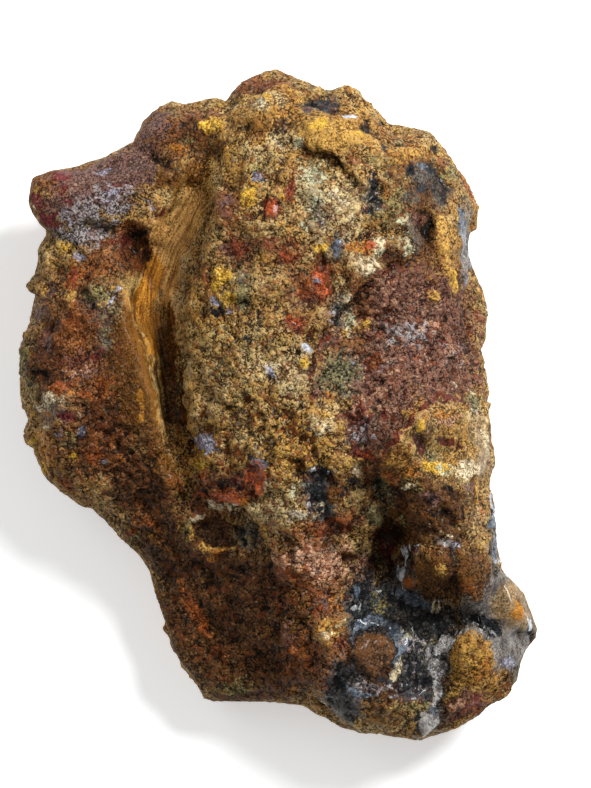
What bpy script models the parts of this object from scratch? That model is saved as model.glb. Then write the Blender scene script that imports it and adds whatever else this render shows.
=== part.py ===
"""Faced rough moss agate: a natural lump with its rind on, sawn flat on the side that it lies on.

Metres, +Z up. The sawn face is at Z = 0, and the origin is at the middle of the stone's box there.
Sizes below are in millimetres. X and Y are seen from above, with the narrow upper end at +Y.
"""

import math

import bmesh
import bpy
import numpy as np
from mathutils import Vector, noise

PIECE = "moss_agate"
MM = 0.001

# Heights over the sawn face
CROWN = 22.5
LOWEST_RIND = 0.6

# The cut from the crown to the sawn edge, as a superellipse over the waist and a bulge under it
SHOULDER_POWER = 7.0
SHOULDER_ROOT = 2.0
BULGE = 1.7
TYPICAL_RADIUS = 46.0
TYPICAL_RISE = 16.0
TYPICAL_WAIST = 12.0
CUT_SAMPLES = 800

# The mesh: squares along each side of the grid that is wrapped over the stone
GRID = 68

# The rough surface
LUMP_SIZE = 8.5
LUMP_RISE = 0.75
SMOOTHNESS = 0.85
LACUNARITY = 2.1
LUMP_OCTAVES = 2
FLANK_LUMP_SIZE = 10.0
FLANK_LUMP_RISE = 2.2
KEPT_AT_WAIST = 0.9
KEPT_HEIGHT = 3.0
FADE_OVER_EDGE = 4.0

# Where the steep forms fold the mesh by more than this many degrees, its points are relaxed
FOLD_LIMIT = 44.0
EASING_ROUNDS = 3
EASING = 0.5
SHARP_ANGLE = 50.0

# Where the outline is measured from, the plain oval that the inner rings of the mesh follow, and how
# much the roughening takes off the edge
HUB = (-1.3, 0.6)
OVAL = (38.0, 51.0)
WORN_OFF = 0.4

# The stone's edge as seen from above, clockwise from the tip of the horn at the upper left
OUTLINE = [
    (-39.6, 33.5), (-39.2, 36.3), (-37.4, 37.1), (-32.1, 38.5), (-27.6, 39.8), (-23.1, 41.9),
    (-21.8, 43.5), (-20.7, 45.7), (-18.9, 47.8), (-17.2, 48.8), (-14.9, 48.3), (-11.6, 49.0),
    (-8.2, 48.8), (-7.4, 50.2), (-5.9, 51.7), (-4.3, 52.5), (-1.8, 53.5), (-0.3, 53.9),
    (2.9, 52.6), (5.1, 51.5), (7.9, 50.2), (12.0, 49.8), (14.9, 47.5), (18.1, 45.3),
    (22.8, 44.3), (24.4, 43.7), (27.9, 39.2), (29.7, 35.0), (31.3, 31.0), (30.5, 28.3),
    (30.7, 23.8), (31.8, 20.7), (33.4, 14.8), (33.1, 10.3), (32.3, 8.7), (33.2, -1.9),
    (34.0, -3.9), (34.2, -7.2), (33.7, -13.5), (34.8, -20.2), (36.1, -26.8), (37.9, -28.4),
    (39.5, -30.3), (40.4, -32.7), (41.6, -36.1), (41.4, -37.6), (40.0, -39.3), (38.2, -44.5),
    (36.3, -46.9), (33.5, -48.6), (29.1, -52.3), (26.5, -53.1), (22.6, -54.1), (14.9, -52.8),
    (10.0, -52.0), (7.7, -50.6), (4.0, -48.5), (1.1, -48.0), (-6.7, -48.0), (-10.1, -47.8),
    (-12.5, -45.6), (-14.8, -41.9), (-17.7, -36.0), (-19.6, -31.0), (-20.7, -27.1),
    (-22.6, -23.6), (-27.6, -18.6), (-29.7, -16.7), (-31.8, -16.2), (-35.6, -13.6),
    (-37.1, -12.0), (-39.0, -7.2), (-40.3, -5.6), (-40.3, -3.7), (-39.8, -2.1), (-41.3, 1.3),
    (-41.4, 5.1), (-40.6, 11.4), (-39.6, 13.0), (-38.8, 17.7), (-40.0, 19.1), (-39.0, 20.9),
    (-38.4, 25.4), (-37.2, 27.1), (-37.1, 28.4), (-39.2, 31.1),
]

# Round the stone, by the angle in degrees from +X: the height of its widest line, and how far the
# sawn edge lies inside that line as a share of the radius
WAIST_HEIGHTS = [
    (0, 14.5), (18, 10.0), (42, 15.0), (68, 10.0), (90, 13.5), (115, 9.0), (140, 13.5), (163, 8.5),
    (188, 12.5), (212, 7.0), (238, 10.5), (262, 7.0), (285, 12.0), (305, 8.5), (328, 14.0),
]
SAWN_TUCKS = [
    (0, 0.10), (24, 0.15), (50, 0.18), (72, 0.12), (96, 0.15), (140, 0.23), (164, 0.10), (190, 0.15),
    (215, 0.07), (240, 0.12), (262, 0.08), (288, 0.15), (322, 0.20), (342, 0.14),
]

# How those two are smoothed, by averaging over turns of this many degrees
AVERAGED_TURNS = (-12, -6, 0, 6, 12)

# Swellings and hollows: middle X and Y, half length, half width, turn in degrees, rise, squareness
SWELLINGS = {
    "plateau": (8.0, 17.0, 37.0, 22.5, 90, 9.0, 3.0),
    "plateau's right side": (27.0, 25.0, 20.0, 7.0, 90, -3.0, 1.0),
    "maroon hollow": (20.0, 9.0, 12.0, 8.5, 10, -2.2, 2.0),
    "horn": (-31.0, 33.5, 13.0, 5.0, 15, -2.0, 1.0),
    "hump over the horn": (-18.0, 45.5, 5.5, 4.5, 60, 2.0, 1.0),
    "pit under the horn": (-22.6, 23.8, 4.0, 2.0, 110, -2.4, 1.2),
    "left lobe": (-31.0, 8.0, 17.0, 7.0, 90, 1.2, 1.0),
    "fall to the lower left": (-17.5, -38.0, 27.0, 15.5, -52, -10.5, 1.2),
    "knob": (25.0, -8.0, 11.6, 9.8, 95, 5.2, 2.6),
    "skirt of the knob": (27.0, -18.5, 9.0, 6.8, 90, 4.8, 1.9),
    "blue basin": (20.0, -35.0, 18.0, 8.5, -40, -4.5, 1.5),
    "deep cavity": (17.7, -23.2, 5.2, 2.4, 84, -4.6, 1.5),
    "brown button": (15.4, -40.3, 4.2, 4.2, 0, 3.2, 1.8),
    "moss lump in the basin": (24.6, -28.2, 5.0, 4.4, 60, 4.6, 1.4),
    "moss lump at the right": (31.3, -28.0, 4.6, 3.6, 90, 4.0, 1.5),
    "golden moss lobe": (31.0, -41.5, 5.6, 5.0, 45, 6.0, 1.7),
    "red foot of the lobe": (30.5, -47.8, 4.2, 2.6, 20, 2.6, 1.3),
    "olive lump": (18.8, -49.2, 6.0, 2.8, -5, 3.6, 1.3),
    "clear nodule": (38.0, -33.4, 6.0, 3.6, 70, 2.0, 1.2),
    "boxy recess": (-10.0, -20.4, 3.7, 2.8, -5, -2.0, 2.0),
    "second recess": (-5.4, -20.6, 2.0, 2.2, 0, -1.6, 1.6),
    "pit by the rib": (23.6, 28.6, 4.2, 1.7, 84, -3.0, 1.2),
    "dark hollow": (24.8, 35.2, 3.8, 3.0, -30, -1.8, 1.2),
    "small dark hollow": (15.4, 34.0, 1.7, 1.5, 0, -1.8, 1.0),
    "yellow lump": (9.2, 42.6, 6.5, 3.0, -12, 2.2, 1.4),
    "second yellow lump": (20.4, 40.8, 4.6, 2.7, -20, 1.8, 1.3),
    "yellow brow": (-2.8, 46.8, 6.0, 2.2, -3, 1.4, 1.2),
    "ochre rim": (6.0, -4.2, 6.4, 2.7, 95, 1.6, 1.4),
    "lip under the maroon": (14.0, -9.0, 3.8, 1.3, 0, 1.2, 1.2),
    "veined hollow": (6.0, -13.0, 5.6, 2.4, 78, -1.6, 1.2),
    "gap over the knob": (19.5, -0.6, 5.0, 2.0, 40, -1.4, 1.2),
    "ochre step": (16.0, -13.6, 3.2, 1.6, -60, -1.2, 1.4),
    "rusty hollow": (-30.0, 7.0, 5.5, 4.0, 70, -1.4, 1.4),
    "lump at the left edge": (-36.0, -1.0, 4.5, 2.8, 60, 1.6, 1.3),
    "jasper hollow": (-5.5, 23.5, 4.5, 3.0, 20, -1.2, 1.3),
    "red hollow": (6.5, 19.5, 5.0, 3.4, 70, -1.2, 1.3),
    "greenish crest": (6.0, 36.5, 5.5, 2.6, 70, 1.2, 1.2),
    "crescent hollow": (14.4, 26.4, 3.2, 2.4, 60, -1.8, 1.5),
    "head of the spur": (5.5, -22.0, 8.5, 6.0, 80, 1.6, 1.9),
}

# Forms round the sides: middle as an angle in degrees from +X and a height, half length along the side,
# half height, turn, rise, squareness
FLANK_FORMS = {
    "long hollow in the right side": (4, 8.0, 15.0, 4.0, 6, -2.6, 1.3),
    "scar at the right": (27, 16.5, 8.0, 4.5, -25, -2.0, 1.6),
    "block at the upper right": (47, 6.0, 9.0, 4.5, 12, 1.8, 1.8),
    "notch at the top right": (66, 12.0, 4.0, 9.0, 10, -2.6, 1.3),
    "hollow under the brow": (93, 7.0, 13.0, 3.6, 4, -3.0, 1.4),
    "chip in the brow": (82, 19.5, 5.0, 3.5, 0, -1.8, 1.5),
    "block under the hump": (116, 5.5, 8.0, 4.0, -12, 1.8, 1.6),
    "cleft beside the horn": (130, 11.0, 3.2, 10.0, 12, -2.8, 1.2),
    "scoop under the horn": (147, 7.0, 9.0, 3.8, -12, -2.2, 1.4),
    "step in the left side": (172, 4.5, 12.0, 2.6, 8, 1.4, 1.6),
    "hollow in the left side": (185, 14.0, 7.0, 3.4, -14, -1.4, 1.3),
    "chip at the lower left": (212, 13.0, 8.0, 4.5, 25, -2.4, 1.8),
    "long chip at the lower left": (233, 6.0, 11.0, 3.6, 10, -1.8, 1.6),
    "step at the bottom": (258, 4.5, 10.0, 2.6, -5, 1.4, 1.6),
    "hollow at the bottom": (272, 14.0, 8.0, 3.6, 12, -2.0, 1.4),
    "scoop under the foot": (303, 7.0, 10.0, 4.0, 8, -2.4, 1.4),
    "chip by the nodule": (331, 8.0, 8.0, 4.5, -20, -2.0, 1.7),
}
MM_PER_DEGREE = 0.8

# Ridges and furrows: squareness, then points with X, Y, the widths to the left and to the right of the
# way, and the rise
ROUTES = {
    "flute": (2.0, [
        (-11.0, 41.6, 1.7, 1.7, -1.4), (-11.6, 35.6, 2.1, 2.1, -3.8), (-13.8, 31.0, 3.4, 3.2, -5.8),
        (-17.0, 25.0, 4.2, 3.7, -6.8), (-19.0, 19.4, 4.4, 4.1, -7.0), (-19.1, 13.6, 4.0, 3.9, -7.0),
        (-18.0, 7.6, 3.5, 3.2, -6.6),
        (-17.0, 2.6, 2.9, 3.0, -5.8), (-16.3, -2.6, 3.0, 2.8, -4.8), (-15.0, -9.0, 3.6, 2.8, -3.2),
        (-13.2, -15.4, 4.0, 3.2, -1.0),
    ]),
    "bank left of the flute": (1.0, [
        (-25.0, 17.0, 1.8, 4.5, 0.8), (-23.4, 11.0, 2.0, 5.5, 2.0), (-21.4, 5.0, 2.0, 5.5, 2.0),
        (-20.8, -1.8, 2.4, 4.5, 1.3), (-18.8, -9.0, 3.0, 3.5, 0.8),
    ]),
    "horn's ridge": (1.2, [
        (-38.5, 33.8, 3.2, 3.4, 1.0), (-30.0, 34.6, 3.4, 3.8, 2.8), (-21.5, 36.4, 3.4, 3.6, 2.6),
        (-16.5, 39.4, 3.0, 3.0, 0.8),
    ]),
    "hollow under the horn": (1.0, [
        (-36.5, 28.2, 1.6, 3.6, -1.0), (-29.0, 28.4, 1.3, 5.0, -2.4), (-23.4, 26.8, 1.4, 4.0, -2.2),
    ]),
    "saddle by the hump": (1.0, [(-22.5, 40.6, 2.0, 2.0, -1.0), (-15.0, 41.6, 2.2, 2.2, -1.6)]),
    "step behind the brow": (1.0, [
        (-8.6, 48.6, 2.0, 1.2, -1.4), (-2.6, 49.6, 2.2, 1.0, -2.4), (3.8, 50.4, 2.0, 1.0, -1.0),
    ]),
    "ledge under the yellow lump": (1.0, [
        (2.6, 41.0, 0.9, 3.5, -1.0), (7.4, 39.4, 0.9, 4.0, -2.2), (11.2, 36.4, 0.9, 3.5, -1.4),
    ]),
    "red-brown spur": (1.2, [
        (-0.5, -14.0, 5.0, 5.0, 1.0), (3.4, -25.0, 5.0, 6.0, 3.4), (5.8, -34.7, 4.5, 6.5, 3.0),
        (7.4, -44.3, 4.0, 6.0, 2.4),
    ]),
    "gold rib": (1.0, [
        (24.1, 32.2, 1.6, 1.4, 1.0), (26.0, 26.3, 1.6, 1.4, 2.2), (27.6, 19.0, 1.6, 1.6, 1.6),
    ]),
    "crease by the nodule": (1.0, [
        (34.2, -24.6, 1.4, 1.4, -1.0), (35.4, -31.8, 1.4, 1.4, -1.4), (35.0, -34.4, 1.2, 1.4, -0.6),
    ]),
    "lip of the recess": (1.0, [
        (-14.0, -21.4, 1.0, 1.2, 0.8), (-11.6, -23.6, 1.0, 1.4, 1.4), (-8.4, -23.6, 1.0, 1.4, 1.4),
        (-6.8, -22.4, 0.9, 1.0, 0.8),
    ]),
    "step into the maroon": (1.4, [
        (19.0, 22.0, 6.0, 0.9, -0.6), (11.5, 14.5, 7.0, 0.9, -1.4), (5.5, 9.0, 7.0, 0.9, -1.5),
        (4.6, 3.0, 7.0, 0.9, -1.4), (8.6, -4.5, 6.0, 0.9, -0.8),
    ]),
    "brow of the knob": (1.2, [
        (14.5, -9.8, 0.9, 3.0, 0.8), (18.0, -5.6, 1.1, 4.5, 1.5), (21.4, -2.4, 1.1, 5.0, 1.6),
        (26.5, -0.6, 1.1, 5.0, 1.5), (32.0, -2.4, 1.2, 4.5, 0.8),
    ]),
    "crack over the lobe": (1.2, [
        (20.5, -32.4, 1.1, 1.1, -1.0), (27.0, -35.2, 1.1, 1.3, -1.4), (32.6, -35.4, 1.1, 1.3, -1.4),
        (36.0, -37.0, 1.0, 1.0, -0.8),
    ]),
    "scarp over the lower left": (1.5, [
        (-13.0, -14.5, 1.6, 4.0, -1.2), (-4.0, -17.5, 1.4, 4.0, -1.2), (1.0, -21.5, 1.4, 4.0, -0.8),
    ]),
}

# Stretches where the rind is smooth: middle X and Y, half length, half width, turn, share, squareness
SMOOTH_STRETCHES = [
    (-30.0, 34.6, 14.0, 6.0, 12, 0.85, 2.0),
    (-19.0, 44.0, 6.0, 5.0, 50, 0.70, 2.0),
    (-14.4, 30.8, 12.0, 3.6, 66, 0.90, 2.0),
    (-20.0, 15.0, 12.0, 4.6, 90, 0.90, 2.0),
    (-20.8, 3.0, 9.5, 3.4, 108, 0.75, 2.0),
    (26.0, -8.0, 9.0, 9.0, 0, 0.45, 2.0),
]

RIND_COLOUR = (0.235, 0.125, 0.042, 1.0)
RIND_ROUGHNESS = 0.62


def clear_scene():
    for thing in list(bpy.data.objects):
        bpy.data.objects.remove(thing, do_unlink=True)


def rind_material():
    material = bpy.data.materials.new("ochre_rind")
    material.use_nodes = True
    shader = material.node_tree.nodes["Principled BSDF"]
    shader.inputs["Base Color"].default_value = RIND_COLOUR
    shader.inputs["Roughness"].default_value = RIND_ROUGHNESS
    shader.inputs["Metallic"].default_value = 0.0
    return material


def swelling(x, y, form):
    """The rise of one oval form at each place. A high squareness gives it a flat top and steep sides."""
    middle_x, middle_y, half_length, half_width, turn, rise, squareness = form
    cosine = math.cos(math.radians(turn))
    sine = math.sin(math.radians(turn))
    along = ((x - middle_x) * cosine + (y - middle_y) * sine) / half_length
    across = ((y - middle_y) * cosine - (x - middle_x) * sine) / half_width
    return rise * np.exp(-((along**2 + across**2) ** squareness))


def ridge(x, y, squareness, route):
    """The rise of one ridge or furrow at each place, taken from the nearest point of its route."""
    nearest = np.full(x.shape, np.inf)
    risen = np.zeros(x.shape)
    for start, end in zip(route, route[1:]):
        run_x = end[0] - start[0]
        run_y = end[1] - start[1]
        share = ((x - start[0]) * run_x + (y - start[1]) * run_y) / (run_x**2 + run_y**2)
        share = np.clip(share, 0, 1)
        away_x = x - start[0] - share * run_x
        away_y = y - start[1] - share * run_y
        away = np.hypot(away_x, away_y)
        left, right, rise = (start[i] + share * (end[i] - start[i]) for i in (2, 3, 4))
        width = np.where(run_x * away_y - run_y * away_x > 0, left, right)
        closer = away < nearest
        risen = np.where(closer, rise * np.exp(-((away / width) ** (2 * squareness))), risen)
        nearest = np.where(closer, away, nearest)
    return risen


def rind_height(x, y):
    """How high the rind stands over the sawn face, before its shoulder falls away."""
    height = np.full(x.shape, CROWN)
    for form in SWELLINGS.values():
        height += swelling(x, y, form)
    for squareness, route in ROUTES.values():
        height += ridge(x, y, squareness, route)
    return height


def round_the_stone(angle, table):
    """A value that changes smoothly round the stone, from a table of angles and values."""
    degrees = np.degrees(angle)
    angles = [row[0] for row in table]
    values = [row[1] for row in table]
    smooth = np.zeros(angle.shape)
    for turn in AVERAGED_TURNS:
        smooth += np.interp(degrees + turn, angles, values, period=360) / len(AVERAGED_TURNS)
    return smooth


def outline_radius(angle):
    points = np.array(OUTLINE) - HUB
    angles = np.arctan2(points[:, 1], points[:, 0])
    radii = np.hypot(points[:, 0], points[:, 1]) + WORN_OFF
    return np.interp(angle, angles, radii, period=2 * math.pi)


def cut_profile(share):
    """Radius, height over the waist and depth under it, each as a share, evenly spaced along the cut."""
    steps = np.linspace(0, 1, CUT_SAMPLES)
    radius = 1 - (1 - steps) ** 3
    over = (1 - radius**SHOULDER_POWER) ** (1 / SHOULDER_ROOT)
    radius = np.concatenate([radius, np.ones(steps.size)])
    over = np.concatenate([over, np.zeros(steps.size)])
    under = np.concatenate([np.zeros(steps.size), steps])
    height = TYPICAL_RISE * over - TYPICAL_WAIST * under
    length = np.concatenate([[0], np.cumsum(np.hypot(np.diff(TYPICAL_RADIUS * radius), np.diff(height)))])
    length /= length[-1]
    return (np.interp(share, length, values) for values in (radius, over, under))


def wrap_over_stone(grid_x, grid_y):
    """Places in millimetres for the points of a square grid from -1 to 1, whose edge becomes the sawn edge.

    Also the angle of each point and the height of the stone's widest line there.
    """
    ring = np.maximum(np.abs(grid_x), np.abs(grid_y))
    wide = np.abs(grid_x) >= np.abs(grid_y)
    longer = np.where(wide, grid_x, grid_y)
    shorter = np.where(wide, grid_y, grid_x)
    lean = math.pi / 4 * shorter / np.where(ring == 0, 1, longer)
    angle = np.where(wide, lean, math.pi / 2 - lean) + np.where(longer < 0, math.pi, 0)

    radius, over, under = cut_profile(ring)
    oval = 1 / np.hypot(np.cos(angle) / OVAL[0], np.sin(angle) / OVAL[1])
    reach = oval + (outline_radius(angle) - oval) * radius**2
    reach *= 1 - round_the_stone(angle, SAWN_TUCKS) * under**BULGE
    x = HUB[0] + reach * radius * np.cos(angle)
    y = HUB[1] + reach * radius * np.sin(angle)
    waist = round_the_stone(angle, WAIST_HEIGHTS)
    z = waist * (1 - under) + (rind_height(x, y) - waist) * over
    return x, y, z, angle, waist


def flank_relief(angle, z):
    """How far the forms round the sides stand out or go in at each place, in millimetres."""
    relief = np.zeros(z.shape)
    for middle, *form in FLANK_FORMS.values():
        along_side = ((np.degrees(angle) - middle + 180) % 360 - 180) * MM_PER_DEGREE
        relief += swelling(along_side, z, (0, *form))
    return relief


def lumps(places, size, octaves):
    scaled = [Vector(place) / size for place in places]
    return np.array([noise.fractal(place, SMOOTHNESS, LACUNARITY, octaves) for place in scaled])


def ease_folds(stone):
    """Relaxes the mesh where the steep forms fold it, so that their walls run smoothly."""
    every_way = {"use_axis_x": True, "use_axis_y": True, "use_axis_z": True}
    for _ in range(EASING_ROUNDS):
        stone.normal_update()
        folded = set()
        for edge in stone.edges:
            if not edge.is_boundary and edge.calc_face_angle() > math.radians(FOLD_LIMIT):
                folded.update(edge.verts)
        inner = [vertex for vertex in stone.verts if vertex in folded and not vertex.is_boundary]
        bmesh.ops.smooth_vert(stone, verts=inner, factor=EASING, **every_way)


def shape_stone(stone):
    """Wraps the grid over the stone, roughens it, closes it with the sawn face and centres it."""
    grid = np.array([vertex.co for vertex in stone.verts])
    x, y, z, angle, waist = wrap_over_stone(grid[:, 0], grid[:, 1])
    places = np.stack([x, y, z], axis=1)
    for vertex, place in zip(stone.verts, places):
        vertex.co = place
    stone.normal_update()

    facing_up = np.array([vertex.normal.z for vertex in stone.verts])
    sideways = 1 - np.clip(facing_up, 0, 1)
    near_waist = np.exp(-(((z - waist) / KEPT_HEIGHT) ** 2))
    smooth = sum(swelling(x, y, form) for form in SMOOTH_STRETCHES)
    rough = np.clip(1 - smooth, 0, 1)
    out = LUMP_RISE * rough * lumps(places, LUMP_SIZE, LUMP_OCTAVES)
    out += sideways * (flank_relief(angle, z) + FLANK_LUMP_RISE * lumps(places, FLANK_LUMP_SIZE, 1))
    out *= 1 - KEPT_AT_WAIST * sideways * near_waist
    out *= np.clip(z / FADE_OVER_EDGE, 0, 1)
    for vertex, distance in zip(stone.verts, out):
        vertex.co += vertex.normal * distance
        vertex.co.z = 0 if vertex.is_boundary else max(vertex.co.z, LOWEST_RIND)
    ease_folds(stone)

    rim = [edge for edge in stone.edges if edge.is_boundary]
    bmesh.ops.contextual_create(stone, geom=rim)
    bmesh.ops.triangulate(stone, faces=stone.faces, quad_method="SHORT_EDGE")
    places = np.array([vertex.co for vertex in stone.verts])
    middle = (places.min(axis=0) + places.max(axis=0)) / 2
    bmesh.ops.translate(stone, verts=stone.verts, vec=(-middle[0], -middle[1], 0))
    bmesh.ops.scale(stone, verts=stone.verts, vec=(MM, MM, MM))
    bmesh.ops.recalc_face_normals(stone, faces=stone.faces)


def make_stone(collection):
    stone = bmesh.new()
    bmesh.ops.create_grid(stone, x_segments=GRID, y_segments=GRID, size=1)
    shape_stone(stone)
    mesh = bpy.data.meshes.new(PIECE)
    stone.to_mesh(mesh)
    stone.free()
    mesh.shade_smooth()
    mesh.set_sharp_from_angle(angle=math.radians(SHARP_ANGLE))
    mesh.materials.append(rind_material())
    collection.objects.link(bpy.data.objects.new(PIECE, mesh))


def main():
    clear_scene()
    collection = bpy.data.collections.new("faced_rough_moss_agate")
    bpy.context.scene.collection.children.link(collection)
    make_stone(collection)


main()
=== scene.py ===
"""Looks of the faced rough moss agate: crumbly rind, glassy patches, polished sawn face, and a pale floor.

The stone is one piece. Its fine mesh repeats the forms of the solid at a finer grain, in millimetres with X
and Y as seen from above. It adds crust, crumbs and pits, and carries one weight for each mineral, which the
material turns into colour and gloss.
"""

import math
from collections import namedtuple
from types import SimpleNamespace

import bmesh
import bpy
import numpy as np
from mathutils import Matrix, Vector, noise

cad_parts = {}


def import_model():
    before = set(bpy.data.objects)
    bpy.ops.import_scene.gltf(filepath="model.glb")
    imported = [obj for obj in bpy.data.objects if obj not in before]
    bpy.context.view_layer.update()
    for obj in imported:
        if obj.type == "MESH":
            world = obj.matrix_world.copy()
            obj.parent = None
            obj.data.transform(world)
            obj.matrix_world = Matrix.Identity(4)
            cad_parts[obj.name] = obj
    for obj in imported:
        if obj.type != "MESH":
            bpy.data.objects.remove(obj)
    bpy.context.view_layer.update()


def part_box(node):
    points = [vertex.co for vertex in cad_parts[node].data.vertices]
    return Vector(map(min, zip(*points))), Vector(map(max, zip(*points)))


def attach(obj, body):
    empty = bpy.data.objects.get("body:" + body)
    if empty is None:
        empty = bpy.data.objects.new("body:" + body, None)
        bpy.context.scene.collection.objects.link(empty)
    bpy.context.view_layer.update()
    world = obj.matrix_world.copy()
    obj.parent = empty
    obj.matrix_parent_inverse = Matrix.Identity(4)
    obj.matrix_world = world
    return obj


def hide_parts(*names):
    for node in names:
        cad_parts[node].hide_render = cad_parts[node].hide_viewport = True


PIECE = "moss_agate_stone"
NODE = "moss_agate"
MM = 0.001

# Heights over the sawn face
CROWN = 22.5
LOWEST_RIND = 0.15

# The cut from the crown to the sawn edge, as a superellipse over the waist and a bulge under it
SHOULDER_POWER = 7.0
SHOULDER_ROOT = 2.0
BULGE = 1.7
TYPICAL_RADIUS = 46.0
TYPICAL_RISE = 16.0
TYPICAL_WAIST = 12.0
CUT_SAMPLES = 800

# The mesh: squares along each side of the grid that wraps the stone, and the rings of the sawn face
GRID = 308
SAWN_RINGS = (0.975, 0.93)

# The rough surface, with sizes and rises in millimetres. Its coarse lumps are those of the solid
LUMP_SIZE = 8.5
LUMP_RISE = 0.75
LUMP_OCTAVES = 4
FLANK_LUMP_SIZE = 10.0
FLANK_LUMP_RISE = 2.2
FLANK_OCTAVES = 3
SMOOTHNESS = 0.85
LACUNARITY = 2.1
GRIT_SIZE = 2.4
GRIT_RISE = 0.26
GRIT_OCTAVES = 2
GRIT_SMOOTHNESS = 0.35

# Tilted facets, each with its size and rise
FACETS = ((5.0, 0.50), (2.4, 0.28))
FACET_TILT = 3
FACET_SHUFFLE = 7.3

# Crumbs with round tops, parted by creases. Even the smoothest stretch has the least of them
CRUMB_SIZE = 1.3
CRUMB_RISE = 0.30
CRUMB_TOP = 1.15
CREASE_STEEPNESS = 2.2
CREASE_ROUNDING = 0.6
LEAST_CRUMBS = 0.08

# How far the lumps and the crust spare the stone's widest line, up to what distance, and the height at
# which the roughness reaches its full strength over the sawn edge
KEPT_AT_WAIST = 0.9
CALM_AT_WAIST = 0.6
KEPT_HEIGHT = 3.0
FADE_OVER_EDGE = 4.0

# Which draw the ragged edges and the facets come from, so that each run gives the same stone
DRAW = 2

# Where the outline is measured from, the plain oval that the inner rings of the mesh follow, and how
# much the roughening takes off the edge
HUB = (-1.3, 0.6)
OVAL = (38.0, 51.0)
WORN_OFF = 0.4

# The stone's edge as seen from above, clockwise from the tip of the horn at the upper left
OUTLINE = [
    (-39.6, 33.5), (-39.2, 36.3), (-37.4, 37.1), (-32.1, 38.5), (-27.6, 39.8), (-23.1, 41.9),
    (-21.8, 43.5), (-20.7, 45.7), (-18.9, 47.8), (-17.2, 48.8), (-14.9, 48.3), (-11.6, 49.0),
    (-8.2, 48.8), (-7.4, 50.2), (-5.9, 51.7), (-4.3, 52.5), (-1.8, 53.5), (-0.3, 53.9),
    (2.9, 52.6), (5.1, 51.5), (7.9, 50.2), (12.0, 49.8), (14.9, 47.5), (18.1, 45.3),
    (22.8, 44.3), (24.4, 43.7), (27.9, 39.2), (29.7, 35.0), (31.3, 31.0), (30.5, 28.3),
    (30.7, 23.8), (31.8, 20.7), (33.4, 14.8), (33.1, 10.3), (32.3, 8.7), (33.2, -1.9),
    (34.0, -3.9), (34.2, -7.2), (33.7, -13.5), (34.8, -20.2), (36.1, -26.8), (37.9, -28.4),
    (39.5, -30.3), (40.4, -32.7), (41.6, -36.1), (41.4, -37.6), (40.0, -39.3), (38.2, -44.5),
    (36.3, -46.9), (33.5, -48.6), (29.1, -52.3), (26.5, -53.1), (22.6, -54.1), (14.9, -52.8),
    (10.0, -52.0), (7.7, -50.6), (4.0, -48.5), (1.1, -48.0), (-6.7, -48.0), (-10.1, -47.8),
    (-12.5, -45.6), (-14.8, -41.9), (-17.7, -36.0), (-19.6, -31.0), (-20.7, -27.1),
    (-22.6, -23.6), (-27.6, -18.6), (-29.7, -16.7), (-31.8, -16.2), (-35.6, -13.6),
    (-37.1, -12.0), (-39.0, -7.2), (-40.3, -5.6), (-40.3, -3.7), (-39.8, -2.1), (-41.3, 1.3),
    (-41.4, 5.1), (-40.6, 11.4), (-39.6, 13.0), (-38.8, 17.7), (-40.0, 19.1), (-39.0, 20.9),
    (-38.4, 25.4), (-37.2, 27.1), (-37.1, 28.4), (-39.2, 31.1),
]

# Round the stone, by the angle in degrees from +X: the height of its widest line, and how far the
# sawn edge lies inside that line as a share of the radius
WAIST_HEIGHTS = [
    (0, 14.5), (18, 10.0), (42, 15.0), (68, 10.0), (90, 13.5), (115, 9.0), (140, 13.5), (163, 8.5),
    (188, 12.5), (212, 7.0), (238, 10.5), (262, 7.0), (285, 12.0), (305, 8.5), (328, 14.0),
]
SAWN_TUCKS = [
    (0, 0.10), (24, 0.15), (50, 0.18), (72, 0.12), (96, 0.15), (140, 0.23), (164, 0.10), (190, 0.15),
    (215, 0.07), (240, 0.12), (262, 0.08), (288, 0.15), (322, 0.20), (342, 0.14),
]

# How those two are smoothed, by averaging over turns of this many degrees
AVERAGED_TURNS = (-12, -6, 0, 6, 12)

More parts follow.
